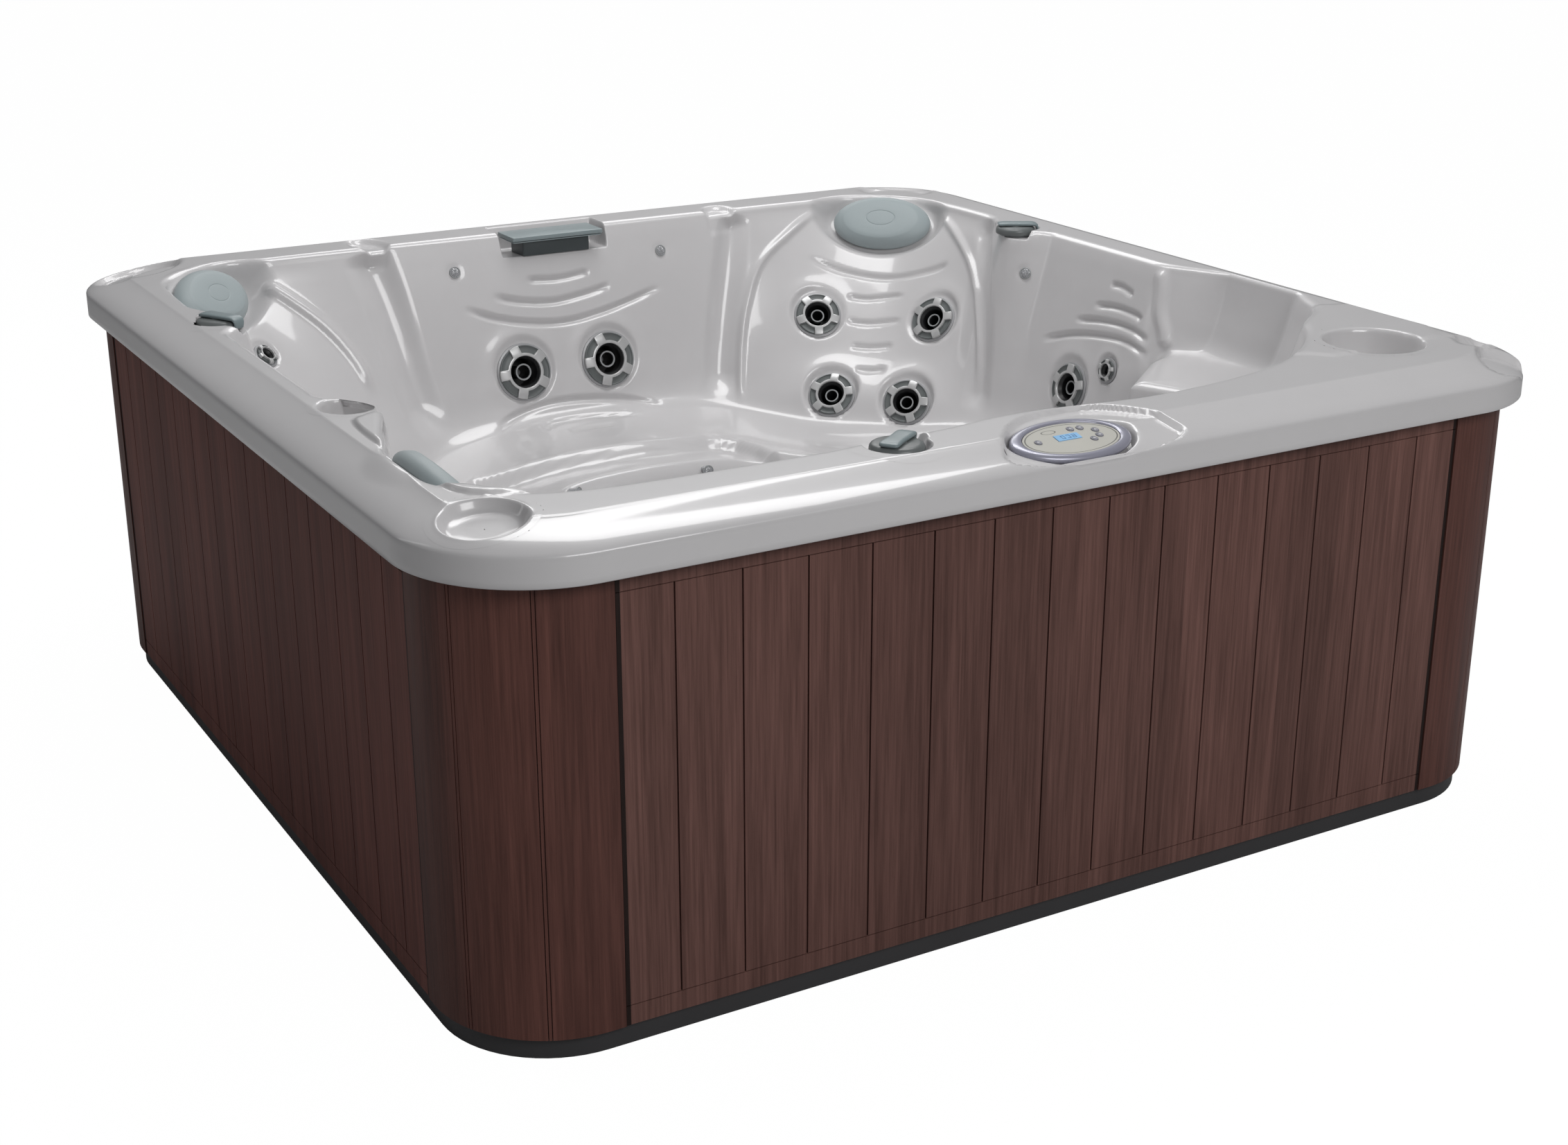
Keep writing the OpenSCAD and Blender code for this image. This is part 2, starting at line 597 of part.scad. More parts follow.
// Diverters: a valve under the rim and a knob with a paddle over it
collar_h = 4;
spindle_r = 6;
spindle_h = 14;
valve_depth = 96;
module diverter_valve(p) {
    color("gray") translate([p[0], p[1], ledge_z]) union() {
        translate([0, 0, gap]) cylinder(h = collar_h, r = valve_r + 7, $fn = 64);
        translate([0, 0, -valve_depth]) cylinder(h = valve_depth + gap + 1, r = valve_r, $fn = 64);
        cylinder(h = collar_h + spindle_h, r = spindle_r, $fn = 48);
    }
}
module diverter_knob(p, turn) {
    color("lightslategray") translate([p[0], p[1], ledge_z + collar_h + 2 * gap]) rotate([0, 0, turn])
        difference() {
        union() {
            cylinder(h = knob_h - 4, r = knob_r, $fn = 96);
            translate([0, 0, knob_h - 4]) cylinder(h = 4, r1 = knob_r, r2 = knob_r - 5, $fn = 96);
            translate([4, 0, knob_h]) cylinder(h = 9, r = 15, $fn = 48);
            translate([4, -11, knob_h]) cube([knob_r + 2, 22, 9]);
            translate([knob_r + 6, 0, knob_h]) cylinder(h = 9, r = 11, $fn = 48);
        }
        translate([0, 0, -eps]) cylinder(h = spindle_h + eps, r = spindle_r + gap, $fn = 48);
    }
}
module diverter_valves() { for (p = knobs) diverter_valve(p); }
module diverter_knob_front() { diverter_knob(knob_front, 35); }
module diverter_knob_left() { diverter_knob(knob_left, -60); }
module diverter_knob_right() { diverter_knob(knob_right, -30); }

// Jets: a fixed body with a flange, a nozzle inside it, and a ring that turns
flange_t = 3;
ring_base_t = 5;
ring_tab_t = 4;
barrel_wall = 3;
hub_wall = 3;
hub_len = 22;
tabs_n = 5;
module jet_body(r) {
    rb = r * barrel_ratio;
    difference() {
        union() {
            translate([0, 0, gap]) cylinder(h = flange_t, r = r + 4, $fn = 64);
            translate([0, 0, -jet_depth]) cylinder(h = jet_depth + gap + 1, r = rb, $fn = 64);
            translate([0, 0, -jet_depth + 14]) rotate([0, 90, 0])
                cylinder(h = rb + 22, r = min(12, rb * 0.6), $fn = 32);
        }
        translate([0, 0, -jet_depth + barrel_wall])
            cylinder(h = jet_depth + 20, r = rb - barrel_wall, $fn = 64);
    }
}
module jet_nozzle(r) {
    rn = r * barrel_ratio - barrel_wall - gap;
    z0 = -jet_depth + barrel_wall + gap;
    difference() {
        union() {
            translate([0, 0, z0]) cylinder(h = 6, r = rn, $fn = 64);
            translate([0, 0, z0]) cylinder(h = jet_depth - barrel_wall - 10, r = rn * 0.42, $fn = 48);
        }
        translate([0, 0, z0 + 10]) cylinder(h = jet_depth, r = rn * 0.42 - 2, $fn = 48);
    }
}
module jet_ring(r) {
    hub_r = r * barrel_ratio - barrel_wall - 0.6;
    base_z = flange_t + 2 * gap;
    inner = hub_r - min(hub_wall, hub_r * 0.2);
    mid = mix(inner, r, 0.3);
    difference() {
        union() {
            translate([0, 0, base_z]) cylinder(h = ring_base_t, r = r - 1.5, $fn = 96);
            translate([0, 0, base_z - hub_len]) cylinder(h = hub_len + 1, r = hub_r, $fn = 96);
            translate([0, 0, base_z + ring_base_t - 1]) difference() {
                cylinder(h = ring_tab_t + 1, r = r, $fn = 96);
                for (i = [0:tabs_n - 1]) rotate([0, 0, (i + 0.5) * 360 / tabs_n])
                    translate([mid, -r * 0.27, 1]) cube([r, r * 0.54, ring_tab_t + 1]);
            }
        }
        translate([0, 0, base_z - hub_len - eps]) cylinder(h = hub_len + 20, r = inner, $fn = 96);
    }
}
module jet(i) {
    color("silver") on_wall(jets[i], jet_sink) jet_ring(jets[i][2]);
}
module jet_bodies() {
    color("dimgray") for (j = jets) on_wall(j, jet_sink) jet_body(j[2]);
}
module jet_nozzles() {
    color("gray") for (j = jets) on_wall(j, jet_sink) jet_nozzle(j[2]);
}
module jet_back_left() { jet(0); }
module jet_back_right() { jet(1); }
module jet_far_upper_left() { jet(2); }
module jet_far_upper_right() { jet(3); }
module jet_far_lower_left() { jet(4); }
module jet_far_lower_right() { jet(5); }
module jet_right_large() { jet(6); }
module jet_right_small() { jet(7); }
module jet_left_small() { jet(8); }
module jet_near_left() { jet(9); }
module jet_near_right() { jet(10); }

// Light lenses and suction covers
module lens() {
    union() {
        translate([0, 0, gap]) cylinder(h = 3, r = lens_r, $fn = 48);
        translate([0, 0, gap + 3]) cylinder(h = 2, r1 = lens_r - 1, r2 = lens_r - 5, $fn = 48);
        translate([0, 0, -20]) cylinder(h = 21, r = lens_stem_r, $fn = 48);
    }
}
module light_lenses() {
    color("lightgray") union() {
        for (f = lights) on_wall(f, 1) lens();
        for (f = well_lights) in_well(f) lens();
    }
}
suction_stem_len = 40;
module suction_covers() {
    color("lightgray") for (f = suctions) in_well(f) translate([0, 0, 2]) difference() {
        union() {
            translate([0, 0, gap]) cylinder(h = 6, r = suction_r, $fn = 64);
            translate([0, 0, gap + 6]) cylinder(h = 8, r1 = suction_r - 2, r2 = suction_r - 16, $fn = 64);
            translate([0, 0, -suction_stem_len])
                cylinder(h = suction_stem_len + 1, r = suction_stem_r, $fn = 64);
        }
        for (i = [0:11]) rotate([0, 0, 30 * i]) translate([24, -1.5, gap + 5]) cube([20, 3, 20]);
        translate([0, 0, -suction_stem_len - eps])
            cylinder(h = suction_stem_len, r = suction_stem_r - 4, $fn = 64);
    }
}

// Control panel: bezel, face plate, display window and buttons
face_a = bezel_a - 21;
face_b = bezel_b - 14;
bezel_floor = 3;
face_t = 4;
face_z = -panel_floor + gap + bezel_floor + button_travel + 1.5;
display_w = 46;
display_h = 17;
display_at = [-4, 5];
buttons = [[-62, 3], [16, 26], [34, 25], [55, 12], [52, -4], [36, -12]];
module control_bezel() {
    color("lightsteelblue") at_panel() difference() {
        union() {
            translate([0, 0, -panel_floor + gap]) linear_extrude(9) polygon(oval(bezel_a, bezel_b));
            translate([0, 0, -panel_floor + gap + 8]) linear_extrude(4)
                polygon(oval(bezel_a - 7, bezel_b - 6));
        }
        translate([0, 0, -panel_floor + gap + bezel_floor]) linear_extrude(30)
            polygon(oval(face_a - 4, face_b - 4));
        translate([0, 0, face_z - gap]) linear_extrude(30) polygon(oval(face_a + gap, face_b + gap));
    }
}
module control_face() {
    color("antiquewhite") at_panel() translate([0, 0, face_z]) difference() {
        linear_extrude(face_t) polygon(oval(face_a, face_b));
        for (b = buttons) translate([b[0], b[1], -eps])
            cylinder(h = face_t + 2 * eps, r = button_r + gap, $fn = 48);
        translate([display_at[0] - display_w / 2, display_at[1] - display_h / 2, face_t - 2])
            cube([display_w, display_h, 3]);
    }
}
module control_display() {
    color("lightskyblue") at_panel() translate([display_at[0] - display_w / 2 + gap,
        display_at[1] - display_h / 2 + gap, face_z + face_t - 2])
        cube([display_w - 2 * gap, display_h - 2 * gap, 2.4]);
}
module button(i) {
    color("slategray") at_panel() translate([buttons[i][0], buttons[i][1], face_z]) union() {
        cylinder(h = face_t + 1, r = button_r, $fn = 48);
        translate([0, 0, face_t + 1]) cylinder(h = 0.6, r1 = button_r, r2 = button_r - 1, $fn = 48);
    }
}
module button_temperature() { button(0); }
module button_jets() { button(1); }
module button_pump() { button(2); }
module button_light() { button(3); }
module button_up() { button(4); }
module button_down() { button(5); }

// Equipment behind the front panel, laid out to the right from the filter
filter_r = cartridge_r + 10;
filter_x = -round(0.656 * rim_half);
filter_stub = 38;
// From the axis of the filter's pipe to the motor, and from the wet end to the axis of the tee
motor_room = 44;
tee_room = 70;
motor_x = filter_x + filter_r + filter_stub + motor_room;
motor_y = -760;
motor_z = base_floor_t + motor_r + 14;
wet_len = 60;
wet_x = motor_x + motor_len + wet_len;
wet_r = motor_r + 8;
module pump_motor() {
    color("darkslategray") union() {
        translate([motor_x, motor_y, motor_z]) rotate([0, 90, 0])
            cylinder(h = motor_len - gap, r = motor_r, $fn = 64);
        translate([motor_x + 50, motor_y - 55, base_floor_t])
            cube([motor_len - 100, 110, motor_z - base_floor_t - motor_r / 2]);
    }
}
module pump_wet_end() {
    color("black") translate([wet_x - wet_len, motor_y, motor_z]) union() {
        rotate([0, 90, 0]) cylinder(h = wet_len, r = wet_r, $fn = 64);
        translate([wet_len / 2, 0, 0]) cylinder(h = wet_r + 18, r = pipe_r + 3, $fn = 48);
    }
}
box_x = 250;
box_w = 300;
box_z = 126;
box_h = 230;
box_t = 110;
heater_r = 28;
heater_y = -(frame_in - gap - box_t / 2);
heater_z = box_z - gap - heater_r - 4;
module control_box() {
    color("darkgray") translate([box_x, -frame_in + gap, box_z]) cube([box_w, box_t, box_h]);
}
module heater() {
    color("lightgray") union() {
        translate([box_x - 20, heater_y, heater_z]) rotate([0, 90, 0])
            cylinder(h = box_w + 40, r = heater_r, $fn = 64);
        for (x = [box_x + 40, box_x + box_w - 60]) translate([x, heater_y - 20, heater_z])
            cube([20, 40, heater_r + 4]);
    }
}
// A run of pipe through a list of points: flat ends, and a wider round fitting at each bend
fitting_lip = 3;
module pipe_run(pts, r) {
    for (i = [0:len(pts) - 2]) {
        d = pts[i + 1] - pts[i];
        translate(pts[i]) rotate([0, 0, atan2(d[1], d[0])]) rotate([0, acos(d[2] / norm(d)), 0])
            cylinder(h = norm(d), r = r, $fn = 48);
    }
    for (i = [1:len(pts) - 2]) fitting(pts[i], r);
}
module fitting(p, r) {
    translate(p) rotate([38, 27, 0]) sphere(r = r + fitting_lip, $fn = 48);
}
manifold_y = -690;
manifold_z = 290;
manifold_x = 600;
manifold_len = 460;
manifold_r = pipe_r + 5;
suction_y = -560;
module water_manifold() {
    color("white") union() {
        translate([manifold_x - manifold_len, manifold_y, manifold_z]) rotate([0, 90, 0])
            cylinder(h = manifold_len, r = manifold_r, $fn = 48);
        for (i = [0:5]) translate([manifold_x - manifold_len + 40 + 76 * i, manifold_y, manifold_z])
            cylinder(h = pipe_r + 25, r = 9, $fn = 32);
    }
}
air_r = 18;
air_z = 690;
air_len = 1240;
module air_manifold() {
    color("white") union() {
        translate([-air_len / 2, -(frame_in - gap - air_r), air_z]) rotate([0, 90, 0])
            cylinder(h = air_len, r = air_r, $fn = 48);
        for (i = [0:7])
            translate([-air_len / 2 + 60 + 160 * i, -(frame_in - gap - air_r), air_z - air_r - 16])
            cylinder(h = 20, r = 7, $fn = 32);
    }
}
filter_y = -(frame_in - 10 - filter_r);
filter_h = cartridge_len + 26;
drain_at = [-(panel_half - 185), -(panel_half - 85)];
hose_y = -500;
drain_z = 40;
drain_r = 12;
spigot_r = 13;
// Straight piece of pipe between a port and the first bend
pipe_stub = 60;
tee_x = wet_x + tee_room;
return_y = -640;
upper_z = 260;
module suction_pipes() {
    starts = [for (f = suctions) well_pt(f[0], f[1]) - (suction_stem_len - 2 + gap) * well_n(f[0], f[1])];
    bends = [for (i = [0, 1]) starts[i] - pipe_stub * well_n(suctions[i][0], suctions[i][1])];
    filter_x1 = filter_x + filter_r + gap;
    color("white") union() {
        pipe_run([starts[1], bends[1], [tee_x, suction_y, motor_z], [tee_x, motor_y, motor_z],
            [wet_x + gap, motor_y, motor_z]], pipe_r);
        pipe_run([starts[0], bends[0], [tee_x + 30, suction_y + 20, motor_z + 20]], pipe_r);
        pipe_run([[filter_x1, filter_y, motor_z], [filter_x1 + filter_stub, filter_y, motor_z],
            [filter_x1 + filter_stub, return_y, motor_z], [tee_x, return_y, motor_z]], pipe_r);
        fitting([tee_x, return_y, motor_z], pipe_r);
    }
}
module pressure_pipes() {
    heater_x0 = box_x - 20 - gap;
    heater_x1 = box_x + box_w + 20 + gap;
    port_z = motor_z + wet_r + 18 + gap;
    color("white") union() {
        pipe_run([[wet_x - wet_len / 2, motor_y, port_z], [wet_x - wet_len / 2, motor_y, upper_z],
            [heater_x0 - pipe_stub, heater_y, upper_z], [heater_x0 - pipe_stub, heater_y, heater_z],
            [heater_x0, heater_y, heater_z]], pipe_r);
        pipe_run([[heater_x1, heater_y, heater_z], [heater_x1 + pipe_stub, heater_y, heater_z],
            [manifold_x - 40, manifold_y, heater_z],
            [manifold_x - 40, manifold_y, manifold_z - manifold_r - gap]], pipe_r);
    }
}
module drain_hose() {
    z = floor_z - shell_t - gap - drain_r;
    color("white") pipe_run([[0, -support_len / 2 - 32, z], [0, hose_y, z], [drain_at[0], hose_y, drain_z],
        [drain_at[0], drain_at[1] + 20 + gap, drain_z]], drain_r);
}
module filter_housing() {
    color("gray") translate([filter_x, filter_y, base_floor_t]) difference() {
        cylinder(h = filter_h, r = filter_r, $fn = 64);
        translate([0, 0, 8]) cylinder(h = filter_h, r = filter_r - 6, $fn = 64);
    }
}
module filter_lid() {
    color("dimgray") translate([filter_x, filter_y, base_floor_t + filter_h]) union() {
        cylinder(h = 16, r = filter_r + 5, $fn = 64);
        translate([-30, -6, 15]) cube([60, 12, 14]);
    }
}
module filter_cartridge() {
    color("aliceblue") translate([filter_x, filter_y, base_floor_t + 8 + gap]) difference() {
        union() {
            cylinder(h = cartridge_len, r = cartridge_r, $fn = 64);
            cylinder(h = 10, r = cartridge_r + 3, $fn = 64);
            translate([0, 0, cartridge_len - 10]) cylinder(h = 10, r = cartridge_r + 3, $fn = 64);
        }
        translate([0, 0, -eps]) cylinder(h = cartridge_len + 2 * eps, r = 22, $fn = 48);
        for (i = [0:23]) rotate([0, 0, 15 * i]) translate([cartridge_r - 14, -2, 16])
            cube([30, 4, cartridge_len - 32]);
    }
}
module drain_valve() {
    color("goldenrod") translate([drain_at[0], drain_at[1], base_floor_t]) union() {
        translate([-20, -20, 0]) cube([40, 40, 52]);
        translate([0, 0, 51]) cylinder(h = 26, r = spigot_r, $fn = 48);
    }
}
module drain_cap() {
    color("black") translate([drain_at[0], drain_at[1], base_floor_t + 52 + gap]) difference() {
        cylinder(h = 30, r = spigot_r + 5, $fn = 48);
        translate([0, 0, -eps]) cylinder(h = 25 + eps + gap, r = spigot_r + gap, $fn = 48);
    }
}

shell();
base_pan();
footwell_support();
frame_rails();
frame_posts();
panel_front();
panel_back();
panel_left();
panel_right();
corner_panel_near();
corner_panel_left();
corner_panel_far();
corner_panel_right();
pillow_far();
pillow_left();
pillow_near();
waterfall_body();
waterfall_cap();
diverter_valves();
diverter_knob_front();
diverter_knob_left();
diverter_knob_right();
jet_bodies();
jet_nozzles();
jet_back_left();
jet_back_right();
jet_far_upper_left();
jet_far_upper_right();
jet_far_lower_left();
jet_far_lower_right();
jet_right_large();
jet_right_small();
jet_left_small();
jet_near_left();
jet_near_right();
light_lenses();
suction_covers();
control_bezel();
control_face();
control_display();
button_temperature();
button_jets();
button_pump();
button_light();
button_up();
button_down();
pump_motor();
pump_wet_end();
heater();
control_box();
water_manifold();
air_manifold();
suction_pipes();
pressure_pipes();
drain_hose();
filter_housing();
filter_lid();
filter_cartridge();
drain_valve();
drain_cap();
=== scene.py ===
import math

import bpy
import numpy as np
from mathutils import Matrix, Vector


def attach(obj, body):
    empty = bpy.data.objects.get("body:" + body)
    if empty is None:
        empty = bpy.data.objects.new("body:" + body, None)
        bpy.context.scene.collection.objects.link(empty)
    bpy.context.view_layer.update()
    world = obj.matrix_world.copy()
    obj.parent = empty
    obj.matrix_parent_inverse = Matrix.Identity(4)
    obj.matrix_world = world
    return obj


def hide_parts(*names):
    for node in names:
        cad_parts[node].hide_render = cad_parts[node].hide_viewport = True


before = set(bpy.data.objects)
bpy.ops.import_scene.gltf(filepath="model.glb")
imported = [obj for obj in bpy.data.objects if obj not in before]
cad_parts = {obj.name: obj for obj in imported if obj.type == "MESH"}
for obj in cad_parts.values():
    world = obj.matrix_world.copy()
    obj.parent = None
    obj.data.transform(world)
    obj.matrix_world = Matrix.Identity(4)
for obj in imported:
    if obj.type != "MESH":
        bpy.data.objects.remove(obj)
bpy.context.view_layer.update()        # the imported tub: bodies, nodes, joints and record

# Camera: it looks down over the near corner, with the control panel on the right-hand side.
# Its place and lens come from the vanishing lines of the rim and the cabinet.
camera = bpy.data.objects.new("camera", bpy.data.cameras.new("camera"))
bpy.context.scene.collection.objects.link(camera)
look_down, look_right = 0.348344, 0.526086        # radians from the level and from +Y
camera.location = (-2.04741, -3.63293, 1.79897)
camera.rotation_euler = (math.pi / 2 - look_down, 0, -look_right)
camera.data.lens = 50.6
camera.data.sensor_width = 36
camera.data.clip_end = 200
bpy.context.scene.camera = camera


# Base pan: one tray of dark grey polyethylene that the cabinet stands on.
# It is formed in one piece, with the fine matt grain of the mould on its outside.
def effect(name, inputs, outputs):
    """Starts a shader node group with named inputs (a number or a colour) and named outputs."""
    group = bpy.data.node_groups.new(name, "ShaderNodeTree")
    for label, value in inputs.items():
        kind = "NodeSocketFloat" if isinstance(value, (int, float)) else "NodeSocketColor"
        group.interface.new_socket(label, in_out="INPUT", socket_type=kind).default_value = value
    for label in outputs:
        kind = "NodeSocketColor" if label == "Color" else "NodeSocketFloat"
        group.interface.new_socket(label, in_out="OUTPUT", socket_type=kind)
    return group, group.nodes.new("NodeGroupInput").outputs, group.nodes.new("NodeGroupOutput").inputs


def node(tree, kind, links=None, **settings):
    """Adds a shader node; links gives a socket or a plain value for each of its inputs."""
    made = tree.nodes.new("ShaderNode" + kind)
    for key, value in settings.items():
        setattr(made, key, value)
    for socket, source in (links or {}).items():
        if isinstance(source, bpy.types.NodeSocket):
            tree.links.new(source, made.inputs[socket])
        else:
            made.inputs[socket].default_value = source
    return made


def calc(tree, a, b, operation="ADD"):
    """A Math node on two sockets or numbers."""
    return node(tree, "Math", {0: a, 1: b}, operation=operation).outputs[0]


def centred_noise(tree, where, scale, depth, amount, around):
    """Noise of a given scale as a number that swings by amount about around."""
    noise = node(tree, "TexNoise", {"Vector": where, "Scale": scale, "Detail": depth}).outputs["Fac"]
    swing = calc(tree, calc(tree, noise, 0.5, "SUBTRACT"), amount, "MULTIPLY")
    return calc(tree, swing, around)


def tint(tree, colour, shade, result):
    """Puts out a colour made lighter or darker by shade."""
    made = node(tree, "HueSaturation", {"Value": shade, "Color": colour})
    tree.links.new(made.outputs["Color"], result["Color"])


moulded, given, result = effect(
    "moulded_surface",
    {"Colour": (0.5, 0.5, 0.5, 1), "Shade Change": 0.2, "Patch Scale": 6.0, "Grain Scale": 900.0,
     "Roughness": 0.5, "Roughness Change": 0.2},
    ["Color", "Roughness", "Height"])
place = node(moulded, "TexCoord").outputs["Object"]
shade = centred_noise(moulded, place, given["Patch Scale"], 4, given["Shade Change"], 1)
tint(moulded, given["Colour"], shade, result)
rough = centred_noise(moulded, place, 14, 5, given["Roughness Change"], given["Roughness"])
moulded.links.new(rough, result["Roughness"])
pits = node(moulded, "TexNoise", {"Vector": place, "Scale": given["Grain Scale"], "Detail": 2})
moulded.links.new(pits.outputs["Fac"], result["Height"])


def finish(name, group, values, bump=0.2, depth=0.0003, shader=None):
    """A material that takes its colour, roughness and bump from a node group."""
    made = bpy.data.materials.new(name)
    made.use_nodes = True
    tree = made.node_tree
    surface = tree.nodes["Principled BSDF"]
    source = tree.nodes.new("ShaderNodeGroup")
    source.node_tree = group
    for label, value in values.items():
        source.inputs[label].default_value = value
    for label, socket in (("Color", "Base Color"), ("Roughness", "Roughness")):
        tree.links.new(source.outputs[label], surface.inputs[socket])
    if bump:
        relief = node(tree, "Bump", {"Strength": bump, "Distance": depth,
                                     "Height": source.outputs["Height"]})
        tree.links.new(relief.outputs["Normal"], surface.inputs["Normal"])
    for label, value in (shader or {}).items():
        surface.inputs[label].default_value = value
    return made


def cast(name, colour, shade_change, patches, grain_scale, rough, rough_change, **more):
    """A finish of the moulded_surface group; more may hold bump, depth and shader."""
    return finish(name, moulded, {
        "Colour": (*colour, 1), "Shade Change": shade_change, "Patch Scale": patches,
        "Grain Scale": grain_scale, "Roughness": rough, "Roughness Change": rough_change}, **more)


def dress(material, *names):
    """Gives CAD nodes a finish and leaves their shape alone."""
    for name in names:
        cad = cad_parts[name]
        if not cad.material_slots:
            cad.data.materials.append(material)
        for held in cad.material_slots:
            held.material = material


dress(cast("base_plastic", (0.032, 0.031, 0.033), 0.3, 9.0, 700.0, 0.55, 0.15), "base_pan")

# Frame: bent galvanised channels and posts screwed together inside the cabinet, and a block of
# stiff blue foam under the footwell that carries the weight of the water.
dress(cast("galvanised_steel", (0.42, 0.43, 0.44), 0.5, 60.0, 1200.0, 0.42, 0.3,
           shader={"Metallic": 0.9}), "frame_rails", "frame_posts")
dress(cast("support_foam", (0.25, 0.42, 0.6), 0.25, 160.0, 500.0, 0.9, 0.1, bump=0.6, depth=0.001),
      "footwell_support")

# Cabinet: four planked panels and four rounded corner panels of a brown wood-effect board.
# The planks run upright between a bottom and a top rail, with narrow sawn grooves between them.
grain, given, result = effect(
    "upright_grain",
    {"Dark": (0.05, 0.022, 0.018, 1), "Light": (0.12, 0.06, 0.048, 1), "Plank": 0.0,
     "Plank Change": 0.25, "Roughness": 0.5},
    ["Color", "Roughness", "Height"])
place = node(grain, "TexCoord").outputs["Object"]
shift = node(grain, "CombineXYZ", {"Z": calc(grain, given["Plank"], 3.7, "MULTIPLY")}).outputs[0]
moved = node(grain, "VectorMath", {0: place, 1: shift}, operation="ADD").outputs[0]


def streaks(across, along, depth):
    """Noise drawn out along the planks."""
    size = node(grain, "VectorMath", {0: moved, 1: (across, across, along)}, operation="MULTIPLY")
    return node(grain, "TexNoise", {"Vector": size.outputs[0], "Scale": 1.0, "Detail": depth,
                                    "Roughness": 0.62, "Distortion": 0.25}).outputs["Fac"]


broad, fine, pores = streaks(24, 1.6, 5), streaks(190, 5, 4), streaks(620, 14, 2)
tone = calc(grain, calc(grain, broad, 0.4, "MULTIPLY"), calc(grain, fine, 0.6, "MULTIPLY"))
ramp = node(grain, "MapRange", {"Value": tone, "From Min": 0.36, "From Max": 0.64})
mixed = node(grain, "Mix", {"Factor": ramp.outputs[0]}, data_type="RGBA")
for label, source in (("A", given["Dark"]), ("B", given["Light"])):
    socket = [s for s in mixed.inputs if s.name == label and s.type == "RGBA"][0]
    grain.links.new(source, socket)
luck = node(grain, "TexWhiteNoise", {"W": given["Plank"]}, noise_dimensions="1D").outputs["Value"]
change = calc(grain, calc(grain, luck, 0.5, "SUBTRACT"), given["Plank Change"], "MULTIPLY")
level = calc(grain, change, 1)
tint(grain, [s for s in mixed.outputs if s.type == "RGBA"][0], level, result)
grain.links.new(calc(grain, calc(grain, fine, 0.2, "MULTIPLY"), given["Roughness"]), result["Roughness"])
grain.links.new(calc(grain, calc(grain, fine, 0.6, "MULTIPLY"),
                     calc(grain, pores, 0.4, "MULTIPLY")), result["Height"])

# In metres: planks, half a panel's length, and the strip at its end that is painted darker as the shadow
# of the gap; then the share of colour this painted shade takes off
plank_pitch, panel_end, gap_shadow, shadow_depth = 0.1104, 0.810, 0.007, 0.88


def darken(material, where, share):
    """Takes a share off the colour of a finish where the mask is 1."""
    tree = material.node_tree
    group = [n for n in tree.nodes if n.type == "GROUP"][0]
    shade = node(tree, "HueSaturation", {
        "Color": group.outputs["Color"],
        "Value": calc(tree, 1, calc(tree, where, share, "MULTIPLY"), "SUBTRACT")})
    tree.links.new(shade.outputs["Color"], tree.nodes["Principled BSDF"].inputs["Base Color"])


def board(name, axis, dark, light, roughness=0.5):
    """Wood-effect board whose planks are told apart along one axis, X, Y or both for a corner. Along X or
    Y, the strip at each end of a panel gets painted shade for the gap's shadow.
    """
    made = finish(name, grain, {"Dark": dark, "Light": light, "Roughness": roughness},
                  bump=0.35, depth=0.0006, shader={"Specular IOR Level": 0.2})
    tree = made.node_tree
    group = [n for n in tree.nodes if n.type == "GROUP"][0]
    split = node(tree, "SeparateXYZ", {0: node(tree, "TexCoord").outputs["Object"]}).outputs
    along = calc(tree, split["X"], split["Y"]) if axis == "both" else split[axis]
    steps = calc(tree, calc(tree, along, plank_pitch, "DIVIDE"), 0.5 if axis == "both" else 0)
    tree.links.new(calc(tree, steps, 0, "FLOOR"), group.inputs["Plank"])
    if axis != "both":
        # Painted shade: the strip at each end of a planked panel is darkened as the shadow of the gap
        # beside it
        from_middle = calc(tree, along, 0, "ABSOLUTE")
        painted_gap_shade = calc(tree, from_middle, panel_end - gap_shadow, "GREATER_THAN")
        darken(made, painted_gap_shade, shadow_depth)
    return made


# The sides' copy of the board is redder and a little darker than the front's, and the corners' copy
# darker still: painted shade for how those faces look under the light
dress(board("planks_front", "X", (0.080, 0.038, 0.031, 1), (0.160, 0.080, 0.067, 1)),
      "panel_front", "panel_back")
dress(board("planks_side", "Y", (0.088, 0.030, 0.024, 1), (0.182, 0.070, 0.056, 1)),
      "panel_left", "panel_right")
dress(board("corner_boards", "both", (0.072, 0.029, 0.023, 1), (0.140, 0.058, 0.046, 1), 0.4),
      "corner_panel_near", "corner_panel_left", "corner_panel_far", "corner_panel_right")

# Shell: one sheet of cast acrylic, vacuum-formed into rim, backrests, seats and footwell and
# sprayed with glass fibre behind. It is pearl grey with a deep gloss over a faint swirl.
rim_half, rim_corner_r, rim_z, bevel_h, bevel_w, skirt_h, shell_t = 1067, 224, 835, 27, 83, 50, 9
skirt_z = rim_z - bevel_h
skirt_bottom_z = skirt_z - skirt_h
lip_z, back_foot_z, seat_z, seat_dish, cool_z, floor_z = rim_z - 23, 430, 402, 30, 668, 78
well_shoulder, well_bend = 80, 40
# Flat faces of the rim opening, the foot of the backrests and the footwell: direction and distance
lip_faces = [(0, 905), (90, 880), (180, 945), (270, 895), (315, 1060)]
foot_faces = [(0, 800), (45, 805), (90, 775), (135, 825), (180, 840), (225, 900), (270, 790), (315, 850)]
well_faces = [(0, 330), (45, 460), (90, 429), (161, 342), (180, 285), (225, 460), (270, 429), (315, 468)]
